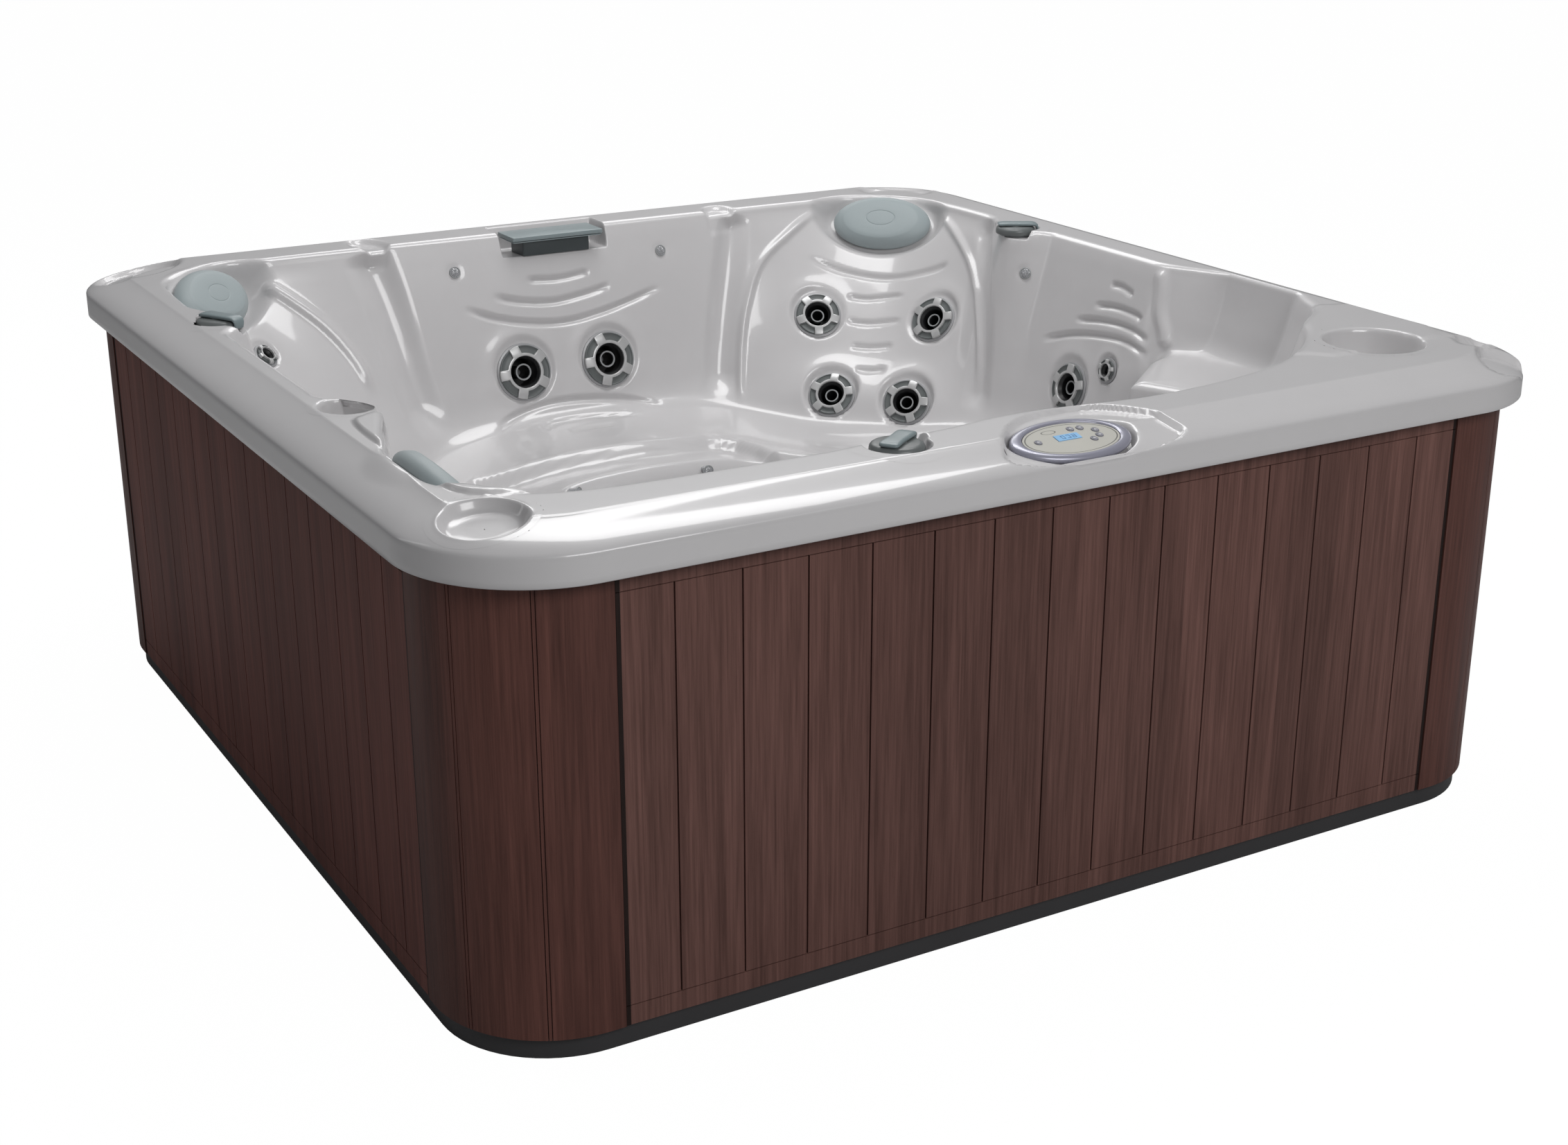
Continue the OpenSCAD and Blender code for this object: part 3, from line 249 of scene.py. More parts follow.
# Places where the lip swells out or in: direction, depth and half width in degrees. In turn they are
# the cool-down seat (two), the near pillow, the panel and the front, left and right diverters
lip_bulges = [(-21, 105, 16), (-33, 30, 7), (200.5, -62, 9), (-91, -32, 17), (253.4, -14, 7),
              (157, -59, 7), (23, -62, 7)]
lip_margin = 16                                        # least width of the rim's flat top
cool_right, cool_left = (-42, -38), (-10, -15)         # the cool-down seat fades in between these
cool_steps = (675, -50.7), (490.7, 22.4)               # its two straight edges: distance, direction
bench_rises = [(92, 40, 18), (45, 30, -16), (135, 30, -16)]     # direction, half width, rise
corner_sharp = {"lip": 10, "foot": 30, "well": 36}     # power at which the outlines' faces join


def cosine(a):
    return np.cos(np.radians(a))


def ease(start, end, x):
    """0 at start and 1 at end, with a soft run between them."""
    t = np.clip((x - start) / (end - start), 0, 1)
    return t * t * (3 - 2 * t)


def mix(a, b, t):
    return a + (b - a) * t


def wrapped(a):
    return a - 360 * np.floor((a + 180) / 360)


def swell(a, centre, width):
    """A soft bump from 0 to 1 and back, width to each side of its centre."""
    x = wrapped(a - centre) / width
    return np.where(np.abs(x) < 1, (1 - np.minimum(x * x, 1)) ** 2, 0)


def faced(a, faces, power):
    """Radius of a many-sided outline with rounded corners, in direction a."""
    return sum((np.maximum(cosine(a - way), 0) / far) ** power for way, far in faces) ** (-1 / power)


def squared(a, half, corner):
    """Radius of a square with true round corners, in direction a."""
    t = np.radians(np.minimum(a % 90, 90 - a % 90))
    c = half - corner
    past = c * (np.cos(t) + np.sin(t)) + np.sqrt(
        np.maximum(corner ** 2 - (c * (np.cos(t) - np.sin(t))) ** 2, 0))
    return np.where(np.tan(t) * half <= c, half / np.cos(t), past)


def rim_crease(a):
    """Where the rim's flat top meets its bevel."""
    return squared(a, rim_half - bevel_w, rim_corner_r - bevel_w + 9)


def lip(a):
    """Edge of the rim's opening."""
    edge = faced(a, lip_faces, corner_sharp["lip"])
    edge = edge + sum(deep * swell(a, way, wide) for way, deep, wide in lip_bulges)
    return np.minimum(edge, rim_crease(a) - lip_margin)


def wall_foot(a):
    return faced(a, foot_faces, corner_sharp["foot"])


def well_edge(a):
    return faced(a, well_faces, corner_sharp["well"])


def bench_top(a):
    return seat_z + sum(rise * swell(a, way, wide) for way, wide, rise in bench_rises)


def wall_r(a, z):
    """Radius of the backrests, which hollow a little between the lip and their foot."""
    s = np.maximum(0, (lip_z - z) / (lip_z - back_foot_z))
    return mix(lip(a), wall_foot(a), s ** 0.85)


def stations(a):
    """Radius and height of the moulding at its 27 stations, from the skirt to the footwell floor."""
    turn = wrapped(a)
    edge, well, top = lip(a), well_edge(a), bench_top(a)
    cool = ease(*cool_left, turn) * ease(*cool_right, turn)
    straight = np.maximum(*(far / cosine(turn - way) for far, way in cool_steps))
    step = np.where((turn < -55) | (turn > 0), 0, np.minimum(edge - 70, straight))
    foot = mix(wall_foot(a), step - 24, cool)
    dish = seat_dish * (1 - 0.7 * swell(a, 92, 40))
    outer, crease = squared(a, rim_half, rim_corner_r), rim_crease(a)
    roll = np.minimum(22, 0.6 * (crease - edge))
    rows = [
        (outer, skirt_bottom_z), (outer, skirt_z - 6),
        (squared(a, rim_half - 8, rim_corner_r - 6), skirt_z + 2), (crease + 5, rim_z - 2.4),
        (crease - 3, rim_z - 0.15), (mix(crease, edge + roll, 0.5), rim_z), (edge + roll, rim_z),
        (edge + 0.27 * roll, rim_z - 5), (edge, rim_z - 17),
        (mix(wall_r(a, 780), edge - 8, cool), 780), (mix(wall_r(a, 735), edge - 20, cool), 735),
        (mix(wall_r(a, cool_z + 20), edge - 38, cool), cool_z + 20),
        (mix(wall_r(a, cool_z + 4), edge - 58, cool), cool_z + 4),
        (mix(wall_r(a, cool_z - 1), step + 26, cool), cool_z - 1),
        (mix(wall_r(a, cool_z - 14), step, cool), cool_z - 14),
        (mix(wall_r(a, 600), step - 8, cool), 600), (mix(wall_r(a, 520), step - 16, cool), 520),
        (foot - 4, back_foot_z + 14), (foot - 42, top + 9 - dish * 0.3),
        (mix(foot, well, 0.45), top - dish),
        (well + 28, top - 2), (well + 2, top - 10), (well - 18, top - well_shoulder),
        (well - 52, floor_z + well_bend), (well - 64, floor_z + 10), (well - 96, floor_z),
        ((well - 52) * 0.5, floor_z)]
    heights = [np.broadcast_to(z, a.shape) for _, z in rows]
    return np.array([r for r, _ in rows]), np.array(heights, float)


# How many rows of faces lie between one station and the next
row_counts = [4, 4, 16, 4, 13, 12, 6, 5, 10, 11, 12, 5, 4, 5, 18, 20, 20, 8, 12, 16, 8, 8, 12, 6, 4, 4]


def slopes(along, value):
    """Slopes of a curve through the stations that never overshoots them."""
    gaps = np.diff(along, axis=0)
    rise = np.diff(value, axis=0) / gaps
    near, next_ = 2 * gaps[1:] + gaps[:-1], gaps[1:] + 2 * gaps[:-1]
    same = rise[:-1] * rise[1:] > 1e-12
    safe = np.where(same, rise[:-1], 1), np.where(same, rise[1:], 1)
    inner = np.where(same, (near + next_) / (near / safe[0] + next_ / safe[1]), 0)
    return np.vstack([rise[:1], inner, rise[-1:]])


def section(a, last=26):
    """Finely divided radial sections in the directions a: radius and height, one column each."""
    radius, height = stations(a)
    along = np.vstack([np.zeros_like(a)[None], np.cumsum(np.hypot(
        np.diff(radius, axis=0), np.diff(height, axis=0)) + 1e-6, axis=0)])
    lean = slopes(along, radius), slopes(along, height)
    columns = [[], []]
    for j in range(last):
        step = along[j + 1] - along[j]
        for t in np.arange(row_counts[j]) / row_counts[j]:
            for values, slope, out in ((radius, lean[0], columns[0]), (height, lean[1], columns[1])):
                out.append((1 + 2 * t) * (1 - t) ** 2 * values[j] + t * (1 - t) ** 2 * step * slope[j]
                           + t * t * (3 - 2 * t) * values[j + 1] + t * t * (t - 1) * step * slope[j + 1])
    columns[0].append(radius[last])
    columns[1].append(height[last])
    return np.array(columns[0]), np.array(columns[1])


def upright(a, radius, height):
    """Points from directions, radii and heights."""
    flat = [radius * cosine(a), radius * np.sin(np.radians(a))]
    return np.stack(flat + [np.broadcast_to(height, np.shape(radius))], -1)


# Directions of the columns: close where the backrests with their ribs are, closest at the
# two sides of the waterfall notch
ways = np.concatenate([
    np.arange(-15, 82.5, 0.28), np.arange(82.5, 85.6, 0.075), np.arange(85.6, 98.3, 0.28),
    np.arange(98.3, 101.6, 0.075), np.arange(101.6, 145, 0.28), np.arange(145, 248, 0.42),
    np.arange(248, 285, 0.26), np.arange(285, 344.7, 0.42)])
column_r, column_z = section(ways)
fold_r = [column_r[0] - shell_t, column_r[0] - shell_t, column_r[0] - shell_t + 1.5, column_r[0] - 1.5]
fold_z = [skirt_bottom_z + 30, skirt_bottom_z + 1.5, skirt_bottom_z, skirt_bottom_z]
column_z[0] += 1.5
column_r = np.vstack([fold_r, column_r])
column_z = np.vstack([[np.full_like(ways, z) for z in fold_z], column_z])
skin = upright(ways[None], column_r, column_z)

# The waterfall notch is cut down into the back rim
waterfall_x, notch_z, notch_half, notch_back = -28, 783, 128, 958
inside = (ease(notch_half + 3, notch_half - 3, np.abs(skin[..., 0] - waterfall_x))
          * ease(notch_back + 4, notch_back - 5, skin[..., 1]) * (skin[..., 1] > 700))
skin[..., 2] += (np.minimum(skin[..., 2], notch_z) - skin[..., 2]) * inside


def wall_point(way, z):
    a = np.array([way], float)
    return upright(a, wall_r(a, z), z)[0]


def wall_normal(way, z, point=wall_point):
    """Normal of the backrests, or of the footwell's wall when point is well_point."""
    n = np.cross(point(way, z + 20) - point(way, z - 20), point(way + 2, z) - point(way - 2, z))
    return n / np.linalg.norm(n)


def well_point(way, z):
    a = np.array([way], float)
    shoulder = bench_top(a) - well_shoulder
    r = well_edge(a) - 22 - 30 * (shoulder - z) / (shoulder - floor_z - well_bend)
    return upright(a, r, z)[0]


def well_normal(way, z):
    return wall_normal(way, z, well_point)


def axes(normal):
    """Sideways, up and out for a fitting: out is the normal, and up runs up the wall."""
    out = np.asarray(normal, float)
    turn, tip = math.atan2(out[1], out[0]), math.acos(out[2])
    spin = Matrix.Rotation(turn, 3, "Z") @ Matrix.Rotation(tip, 3, "Y")
    return np.array(spin @ Matrix.Rotation(math.pi / 2, 3, "Z")).T


def seat_plane(points, centre, normal, half_w, half_h, sink, flat, end, body=60):
    """Presses points onto a flat seat, sunk below the wall, that runs out softly around it."""
    side, up, out = axes(normal)
    away = points - centre
    reach = np.hypot(away @ side / half_w, away @ up / half_h)
    high = away @ out
    weight = ease(end, flat, reach) * (np.abs(high) < body)
    return points - ((high + sink) * weight)[..., None] * out


# Fittings on the walls: direction, height and ring radius of each jet, then direction and height of
# the lights and the suction covers
jet_places = {
    "jet_back_left": (100.2, 537, 61), "jet_back_right": (85.4, 540, 61),
    "jet_far_upper_left": (51.6, 597, 51.5), "jet_far_upper_right": (34.5, 605, 51.5),
    "jet_far_lower_left": (48.2, 437, 51.5), "jet_far_lower_right": (35.6, 433, 51.5),
    "jet_right_large": (5.6, 538, 51.5), "jet_right_small": (-2.1, 599, 24),
    "jet_left_small": (136.2, 671, 24), "jet_near_left": (203, 590, 51.5),
    "jet_near_right": (213, 590, 51.5)}
wall_lights = [(107.6, 765), (74.9, 762), (19.1, 746)]
well_lights = [(75, 370), (116.3, 372)]
suctions = [(262, 190), (278, 190)]
# Of each pillow: direction, height and the direction that it turns its back to
pillow_places = {"pillow_far": (45, 778, 45), "pillow_left": (136.4, 778, 135),
                 "pillow_near": (215.3, 787, 180)}
pillow_half_w, pillow_half_h, pillow_sink, pillow_tilt, jet_sink = 118, 69, 8, math.radians(42), 4


def pillow_normal(way):
    back, flat = math.radians(way), math.cos(pillow_tilt)
    return np.array([-math.cos(back) * flat, -math.sin(back) * flat, math.sin(pillow_tilt)])


# Moulded grooves (negative height) and arches as lines of (direction, height) points, each with
# its half width and height
ribs = [
    ([(97.6, 732), (92, 727), (86.7, 735)], 11, -7.5),
    ([(103.3, 706), (98.6, 687), (93.4, 679), (87.8, 688), (83.4, 701)], 12, -8),
    ([(108, 689), (103.4, 660), (97.7, 640), (91.6, 633), (85.1, 646), (80.1, 663), (75, 685)], 12, -8.5),
    ([(108, 423), (103.5, 446), (97.7, 461), (91.9, 462), (85.1, 453), (80.1, 439), (76, 424)], 12, -7.5),
    ([(101.6, 421), (96.6, 429), (89.8, 429), (81.2, 422)], 11, -7.5),
    ([(97.4, 417), (92.5, 419), (86.8, 417)], 9, -6),
    ([(118, 828), (117.9, 790), (117.8, 721), (117.9, 635), (117.9, 538), (117.2, 425)], 64, -20),
    ([(63.4, 828), (63.8, 790), (64.3, 731), (65.3, 620), (66.2, 507), (66.4, 425)], 48, -18),
    ([(29.9, 828), (28.9, 782), (26.8, 712), (25.2, 601), (24.6, 496), (24.4, 425)], 40, -12),
    ([(129.4, 825), (129.9, 803), (128.3, 753), (126.4, 691), (125.2, 621), (125, 546)], 22, 11),
    ([(52, 822), (56.1, 772), (60.1, 710), (62, 623), (62.8, 551), (63.1, 471), (63.2, 410)], 13, 8),
    ([(39.3, 825), (34.7, 784), (31.1, 740), (28.7, 693), (27.5, 662), (25.7, 568), (24.5, 441)], 13, 8),
    ([(-6.6, 828), (-7.6, 790), (-8.6, 740), (-10.1, 700), (-10.8, 672)], 20, 9),
    ([(53.9, 719), (48.3, 682), (42.6, 673), (36.8, 700), (34.2, 723)], 12, -8),
    ([(47.9, 633), (44.6, 630), (39.7, 644)], 9.5, -7),
    ([(47.6, 584), (43.9, 581), (39.3, 594)], 9.5, -7),
    ([(46.4, 535), (43.2, 534), (39.7, 542)], 9.5, -7),
    ([(45.1, 491), (42.5, 490), (40, 496)], 9.5, -7),
    ([(2, 769), (-0.5, 770), (-3.3, 761)], 9.5, -7),
    ([(4.5, 718), (-0.3, 727), (-4.9, 725), (-6.1, 716)], 10, -7.5),
    ([(7.9, 677), (1.8, 692), (-4.4, 695), (-8.4, 679)], 10, -7.5),
    ([(14.2, 614), (8.1, 644), (2, 661), (-4.3, 667), (-9.1, 650)], 11, -7.5)]


def smooth_line(points, steps=12):
    """A soft curve through a few (direction, height) points."""
    p = np.array(points, float)
    p = np.vstack([2 * p[0] - p[1], p, 2 * p[-1] - p[-2]])
    out = []
    for i in range(1, len(p) - 2):
        for t in np.arange(steps) / steps:
            out.append(0.5 * (2 * p[i] + (p[i + 1] - p[i - 1]) * t
                              + (2 * p[i - 1] - 5 * p[i] + 4 * p[i + 1] - p[i + 2]) * t * t
                              + (3 * p[i] - p[i - 1] - 3 * p[i + 1] + p[i + 2]) * t ** 3))
    return np.array(out + [p[-2]])


def on_skin(line):
    """Points of the plain moulding at (direction, height) pairs, first crossing from the lip down."""
    to_lip = sum(row_counts[:7])
    radius, height = (values[to_lip:] for values in section(line[:, 0], 20))
    found = []
    for i, z in enumerate(line[:, 1]):
        k = max(1, int(np.argmax(height[:, i] < z)))
        t = (height[k - 1, i] - z) / (height[k - 1, i] - height[k, i])
        found.append(mix(radius[k - 1, i], radius[k, i], np.clip(t, 0, 1)))
    return upright(line[:, 0], np.array(found), line[:, 1])


def grid_normals(points):
    """Normals of a grid that closes round its second axis, towards the water side."""
    across = np.roll(points, -1, 1) - np.roll(points, 1, 1)
    down = np.gradient(points, axis=0)
    n = np.cross(across, down)
    return n / np.maximum(np.linalg.norm(n, axis=-1, keepdims=True), 1e-9)


# Recesses of the jets: a flat seat, a wall that opens upwards, and a swollen edge round it
for way, z, ring in jet_places.values():
    scale = 1 if ring > 30 else 0.6
    side, up, out = axes(wall_normal(way, z))
    away = skin - wall_point(way, z)
    reach = np.hypot(away @ side, away @ up)
    above = 0.5 + 0.5 * (away @ up) / np.maximum(reach, 1)
    foot, brow = ring + 5.5, ring + scale * (11 + 15 * above ** 1.5)
    close = np.abs(away @ out) < 60
    skin = skin - ((away @ out + jet_sink) * ease(brow, foot, reach) * close)[..., None] * out
    swollen = np.where(reach > brow, np.exp(-((reach - brow) / (20 * scale)) ** 2),
                       ease(foot, brow, reach))
    skin = skin + (scale * (0.8 + 1.8 * above) * swollen * close)[..., None] * out
for way, z, turn in pillow_places.values():
    skin = seat_plane(skin, wall_point(way, z), pillow_normal(turn), pillow_half_w, pillow_half_h,
                      pillow_sink, 1.05, 1.42, body=90)
for way, z in wall_lights:
    skin = seat_plane(skin, wall_point(way, z), wall_normal(way, z), 13, 13, 1, 1.2, 1.7)
for way, z in well_lights:
    skin = seat_plane(skin, well_point(way, z), well_normal(way, z), 13, 13, 0, 1.2, 1.7)
for way, z in suctions:
    skin = seat_plane(skin, well_point(way, z), well_normal(way, z), 52, 52, -2, 1.1, 1.5)

# Each line of ribs lifts the skin near it, and fades out towards its ends
lifts = np.zeros(skin.shape[:2])
for points, half, height in ribs:
    line = on_skin(smooth_line(points))
    near = np.all((skin > line.min(0) - half) & (skin < line.max(0) + half), axis=-1)
    spots = skin[near]
    best, where = np.full(len(spots), 1e9), np.zeros(len(spots))
    for i in range(len(line) - 1):
        d = line[i + 1] - line[i]
        t = np.clip((spots - line[i]) @ d / (d @ d), 0, 1)
        away = np.linalg.norm(spots - line[i] - t[:, None] * d, axis=1)
        where = np.where(away < best, (i + t) / (len(line) - 1), where)
        best = np.minimum(best, away)
    ends = ease(0, 0.14, where) * ease(1, 0.86, where)
    rise = height * ends * np.maximum(1 - (best / half) ** 2, 0) ** 2
    lifts[near] += rise
skin = skin + lifts[..., None] * grid_normals(skin)


def rim_height(x, y):
    """Height of the plain rim over points of the ground plan."""
    radius, height = section(np.degrees(np.arctan2(y, x)), 10)
    r = np.hypot(x, y)
    k = np.clip((radius > r).sum(0), 1, len(radius) - 1)
    i = np.arange(len(r))
    t = (radius[k - 1, i] - r) / np.maximum(radius[k - 1, i] - radius[k, i], 1e-6)
    return mix(height[k - 1, i], height[k, i], np.clip(t, 0, 1))


def out_of_opening(x, y):
    """Moves points of the ground plan that lie inside the rim opening back onto its edge."""
    a = np.degrees(np.arctan2(y, x))
    r = np.maximum(np.hypot(x, y), lip(a) + 1)
    return r * cosine(a), r * np.sin(np.radians(a))


# Pockets pressed into the rim, each meshed in rings about its own middle. A ring is
# (offset from the edge, depth, how far it follows the rim itself from 0 to 1)
spokes = np.radians(np.arange(0, 360, 3.75))
lift = 0.12         # how far a pocket's edge lies over the skin
parts = []          # (points, faces) of the pockets, joined to the skin at the end
cut = np.zeros((skin.shape[0] - 1, skin.shape[1]), bool)      # faces of the skin that are left out
corners = [skin[:-1], skin[1:], np.roll(skin, -1, 1)[:-1], np.roll(skin, -1, 1)[1:]]
middle = sum(corners) / 4


def ring_faces(rings, around):
    """Four-sided faces between rings of points that follow one another."""
    return [(i * around + j, i * around + (j + 1) % around,
             (i + 1) * around + (j + 1) % around, (i + 1) * around + j)
            for i in range(rings - 1) for j in range(around)]


def pocket(centre, frame_axes, half_w, half_h, rings, front_limit=-1062):
    """Adds a pocket to parts and gives the faces of the skin that it stands in for."""
    side, up, out = frame_axes
    points = []
    for offset, depth, follow in rings:
        flat = np.outer(np.cos(spokes), (half_w + offset) * side) + np.outer(
            np.sin(spokes), (half_h + offset) * up)
        spot = np.asarray(centre, float) + flat + depth * out
        x, y = out_of_opening(spot[:, 0], np.maximum(spot[:, 1], front_limit))
        z = mix(spot[:, 2], rim_height(x, y) + lift, follow)
        points.append(np.stack([x, y, z], -1))
    parts.append((np.concatenate(points), ring_faces(len(rings), len(spokes))))
    away = middle - centre
    last = rings[-1][0] - 4
    reach = np.hypot(away @ side / (half_w + last), away @ up / (half_h + last))
    return (reach < 1) & (middle[..., 2] > 790) & (middle[..., 1] > front_limit + 2)


flat_axes = (np.array([1.0, 0, 0]), np.array([0, 1.0, 0]), np.array([0, 0, 1.0]))
cup_r, cup_depth, bucket_r, bucket_depth = 40, 55, 90, 60


def well_rings(radius, depth):
    """Round-bottomed pocket with a rolled edge."""
    return [(-radius + 1, -depth, 0), (-radius * 0.6, -depth, 0), (-20, -depth, 0), (-14, -depth + 1, 0),
            (-10, -depth + 4, 0), (-8, -depth + 9, 0), (-6.5, -depth + 18, 0), (-4.5, -depth * 0.5, 0),
            (-3, -16, 0), (-2, -9, 0), (-1, -5, 0), (0.5, -2.4, 0), (2.5, -0.9, 0.5), (5, -0.2, 1),
            (8, 0, 1), (11, 0, 1), (14, 0, 1), (18, 0, 1)]


cut |= pocket((-930, -296, rim_z), flat_axes, cup_r + 5, cup_r + 11, well_rings(cup_r, cup_depth))
cut |= pocket((818, -815, rim_z), flat_axes, bucket_r, bucket_r, well_rings(bucket_r, bucket_depth))
tray_tip, diagonal, tray_r = math.radians(9), math.radians(225), 64
outward = np.array([math.cos(diagonal), math.sin(diagonal), 0])
tray_out = math.sin(tray_tip) * outward + math.cos(tray_tip) * np.array([0, 0, 1])
tray_up = np.array([-math.sin(diagonal), math.cos(diagonal), 0])
cut |= pocket((-954, -920, rim_z - 6), (np.cross(tray_up, tray_out), tray_up, tray_out), tray_r, tray_r, [
    (-63, -19, 0), (-40, -19, 0), (-18, -18.6, 0), (-12, -17.4, 0), (-8, -14.5, 0), (-5, -10, 0),
    (-2, -5, 0), (0, -2.2, 0.1), (2, -0.6, 0.45), (4, 0, 0.75), (6, 0.3, 0.92), (9, 0, 1), (12, 0, 1),
    (15, 0, 1), (19, 0, 1)])
panel_tilt = math.radians(13)
panel_axes = (np.array([1.0, 0, 0]), np.array([0, math.cos(panel_tilt), math.sin(panel_tilt)]),
              np.array([0, -math.sin(panel_tilt), math.cos(panel_tilt)]))
panel_at = np.array([4, -995, 819.0])
cut |= pocket(panel_at, panel_axes, 113.5, 64.5, [
    (-40, -9, 0), (-10, -9, 0), (-2, -9, 0), (-0.6, -8.4, 0), (0, -7, 0), (0.6, -4, 0), (1.5, -2, 0.08),
    (3, -0.8, 0.35), (5, 0, 0.7), (8, 0, 0.92), (12, 0, 1), (16, 0, 1), (20, 0, 1), (24, 0, 1)],
    front_limit=-1058)

# Ledges of the diverters: sunk into the rim and open towards the tub
knob_places = {"diverter_knob_front": (-275, -925), "diverter_knob_left": (-932, 396),
               "diverter_knob_right": (884, 376)}
ledge_z, ledge_hole, ledge_r, ledge_reach, ledge_rows, ledge_soft = rim_z - 18, 22, 52, 84, 44, 2.5


def spoked(kx, ky, reach):
    """Points of the ground plan along the spokes round (kx, ky), and the rim's height there."""
    x, y = kx + reach * np.cos(spokes), ky + reach * np.sin(spokes)
    return x, y, rim_height(x.ravel(), y.ravel()).reshape(x.shape)


for name, (kx, ky) in knob_places.items():
    reach = np.arange(0, ledge_reach + 0.5, 0.5)[:, None]
    x, y, base = spoked(kx, ky, reach)
    over = (base < 806) | (np.hypot(x, y) > 1058)
    ends = np.where(over.any(0), reach[np.argmax(over, 0), 0], ledge_reach)
    rho = mix(ledge_hole, ends, np.linspace(0, 1, ledge_rows)[:, None])
    x, y, base = spoked(kx, ky, rho)
    base += lift
    open_side = np.maximum(np.cos(spokes - math.atan2(-ky, -kx)) - 0.3, 0) * 60
    bowl = ledge_z + 40 * np.maximum((rho - ledge_r + 3 - open_side) / 8, 0) ** 2
    blend = np.clip(0.5 + (base - bowl) / (2 * ledge_soft), 0, 1)
    z = np.where(base > bowl + 60, bowl, mix(base, bowl, blend) - ledge_soft * blend * (1 - blend))
    parts.append((np.stack([x, y, z], -1).reshape(-1, 3), ring_faces(ledge_rows, len(spokes))))
    away = middle[..., :2] - np.array([kx, ky])
    angle = np.arctan2(away[..., 1], away[..., 0]) % (2 * math.pi)
    limit = np.interp(angle, np.append(spokes, 2 * math.pi), np.append(ends, ends[0]))
    cut |= (np.hypot(away[..., 0], away[..., 1]) < limit - 3) & (middle[..., 2] > 800)


# Raised and sunken areas: outline in the ground plan, height and width of its soft edge
def softened(outline, times):
    """Cuts the corners of an outline, time after time."""
    corner = np.array(outline, float)
    for _ in range(times):
        after = np.roll(corner, -1, 0)
        corner = np.stack([0.75 * corner + 0.25 * after, 0.25 * corner + 0.75 * after], 1).reshape(-1, 2)
    return corner


def oval(x, y, half_along, half_across, turn):
    """Outline of an ellipse that stands turned in the ground plan."""
    t = np.radians(np.arange(0, 360, 12))
    c, s = math.cos(math.radians(turn)), math.sin(math.radians(turn))
    along, across = half_along * np.cos(t), half_across * np.sin(t)
    return np.stack([x + c * along - s * across, y + s * along + c * across], -1)


def plateau(x, y, outline, soft):
    """1 inside an outline of the ground plan and 0 outside it, with a soft edge."""
    low, high = outline.min(0) - soft, outline.max(0) + soft
    close = (x > low[0]) & (x < high[0]) & (y > low[1]) & (y < high[1])
    px, py = x[close], y[close]
    best, inside = np.full(px.shape, 1e9), np.zeros(px.shape, bool)
    for (ax, ay), (bx, by) in zip(outline, np.roll(outline, -1, 0)):
        dx, dy = bx - ax, by - ay
        t = np.clip(((px - ax) * dx + (py - ay) * dy) / (dx ** 2 + dy ** 2), 0, 1)
        best = np.minimum(best, np.hypot(px - ax - t * dx, py - ay - t * dy))
        if ay != by:
            inside ^= ((ay > py) != (by > py)) & (px < ax + (py - ay) * dx / dy)
    out = np.zeros(x.shape)
    out[close] = ease(-soft / 2, soft / 2, np.where(inside, best, -best))
    return out


rim_forms = [
    # Pillow side of the left rim
    (softened([(-862, -356), (-905, -366), (-938, -380), (-955, -398), (-962, -470), (-959, -579),
               (-954, -653), (-959, -741), (-950, -819), (-904, -856), (-700, -870),
               (-700, -356)], 1), 7, 8),
    # Recess of the control panel
    (softened([(-170, -1066), (-112, -975), (-45, -907), (24, -885), (112, -888), (160, -930),
               (192, -1000), (192, -1066)], 2), -9.5, 4),
    # Scoops in the lip of the back rim
    (oval(402, 888, 34, 52, -14), -11, 14), (oval(-446, 926, 34, 54, 12), -11, 14),
    # Dips in the corners
    (oval(905, 905, 80, 62, 135), -11, 34), (oval(-942, 942, 112, 70, 45), -15, 14),
    (softened([(970, -861), (1020, -838), (1064, -838), (1040, -880), (1012, -918), (969, -926),
               (944, -909)], 1), -13, 12),
    (softened([(950, -933), (1000, -940), (1030, -978), (980, -1030), (922, -1040), (896, -1030),
               (905, -990)], 1), -13, 12),
    # Raised ground round the bucket recess
    (softened([(984, -539), (982, -679), (989, -810), (926, -859), (600, -859), (600, -539)], 1), 2.5, 6)]
seat_forms = [
    # Step in front of the bench, down to the edge of the footwell
    (softened([(-372, 590), (-307, 584), (-248, 577), (-129, 562), (-9, 546), (127, 553), (211, 570),
               (262, 520), (262, 300), (-400, 300), (-420, 500)], 1), -32, 28)]


def relief(x, y, forms):
    return sum(height * plateau(x, y, outline, soft) for outline, height, soft in forms)


# Openings behind the fittings
jet_hole_share, suction_hole_r = 0.82, 26
for way, z, ring in jet_places.values():
    normal = wall_normal(way, z)
    away = middle - (wall_point(way, z) - jet_sink * normal)
    high = away @ normal
    reach = np.linalg.norm(away - high[..., None] * normal, axis=-1)
    cut |= (reach < ring * jet_hole_share) & (np.abs(high) < 40)
for way, z in suctions:
    cut |= np.linalg.norm(middle - well_point(way, z), axis=-1) < suction_hole_r

rows, columns = skin.shape[:2]
index = np.arange(rows * columns).reshape(rows, columns)
quads = np.stack([index[:-1], np.roll(index, -1, 1)[:-1], np.roll(index, -1, 1)[1:], index[1:]], -1)
shell_points = [skin.reshape(-1, 3), np.array([[0, 0, floor_z]])]
hub = rows * columns                    # the floor's middle point, which closes the last row
shell_faces = quads[~cut].tolist() + [
    (int(index[-1, j]), int(index[-1, (j + 1) % columns]), hub) for j in range(columns)]
offset = hub + 1
for points, faces in parts:
    shell_points.append(points)
    shell_faces += [tuple(offset + i for i in face) for face in faces]
    offset += len(points)

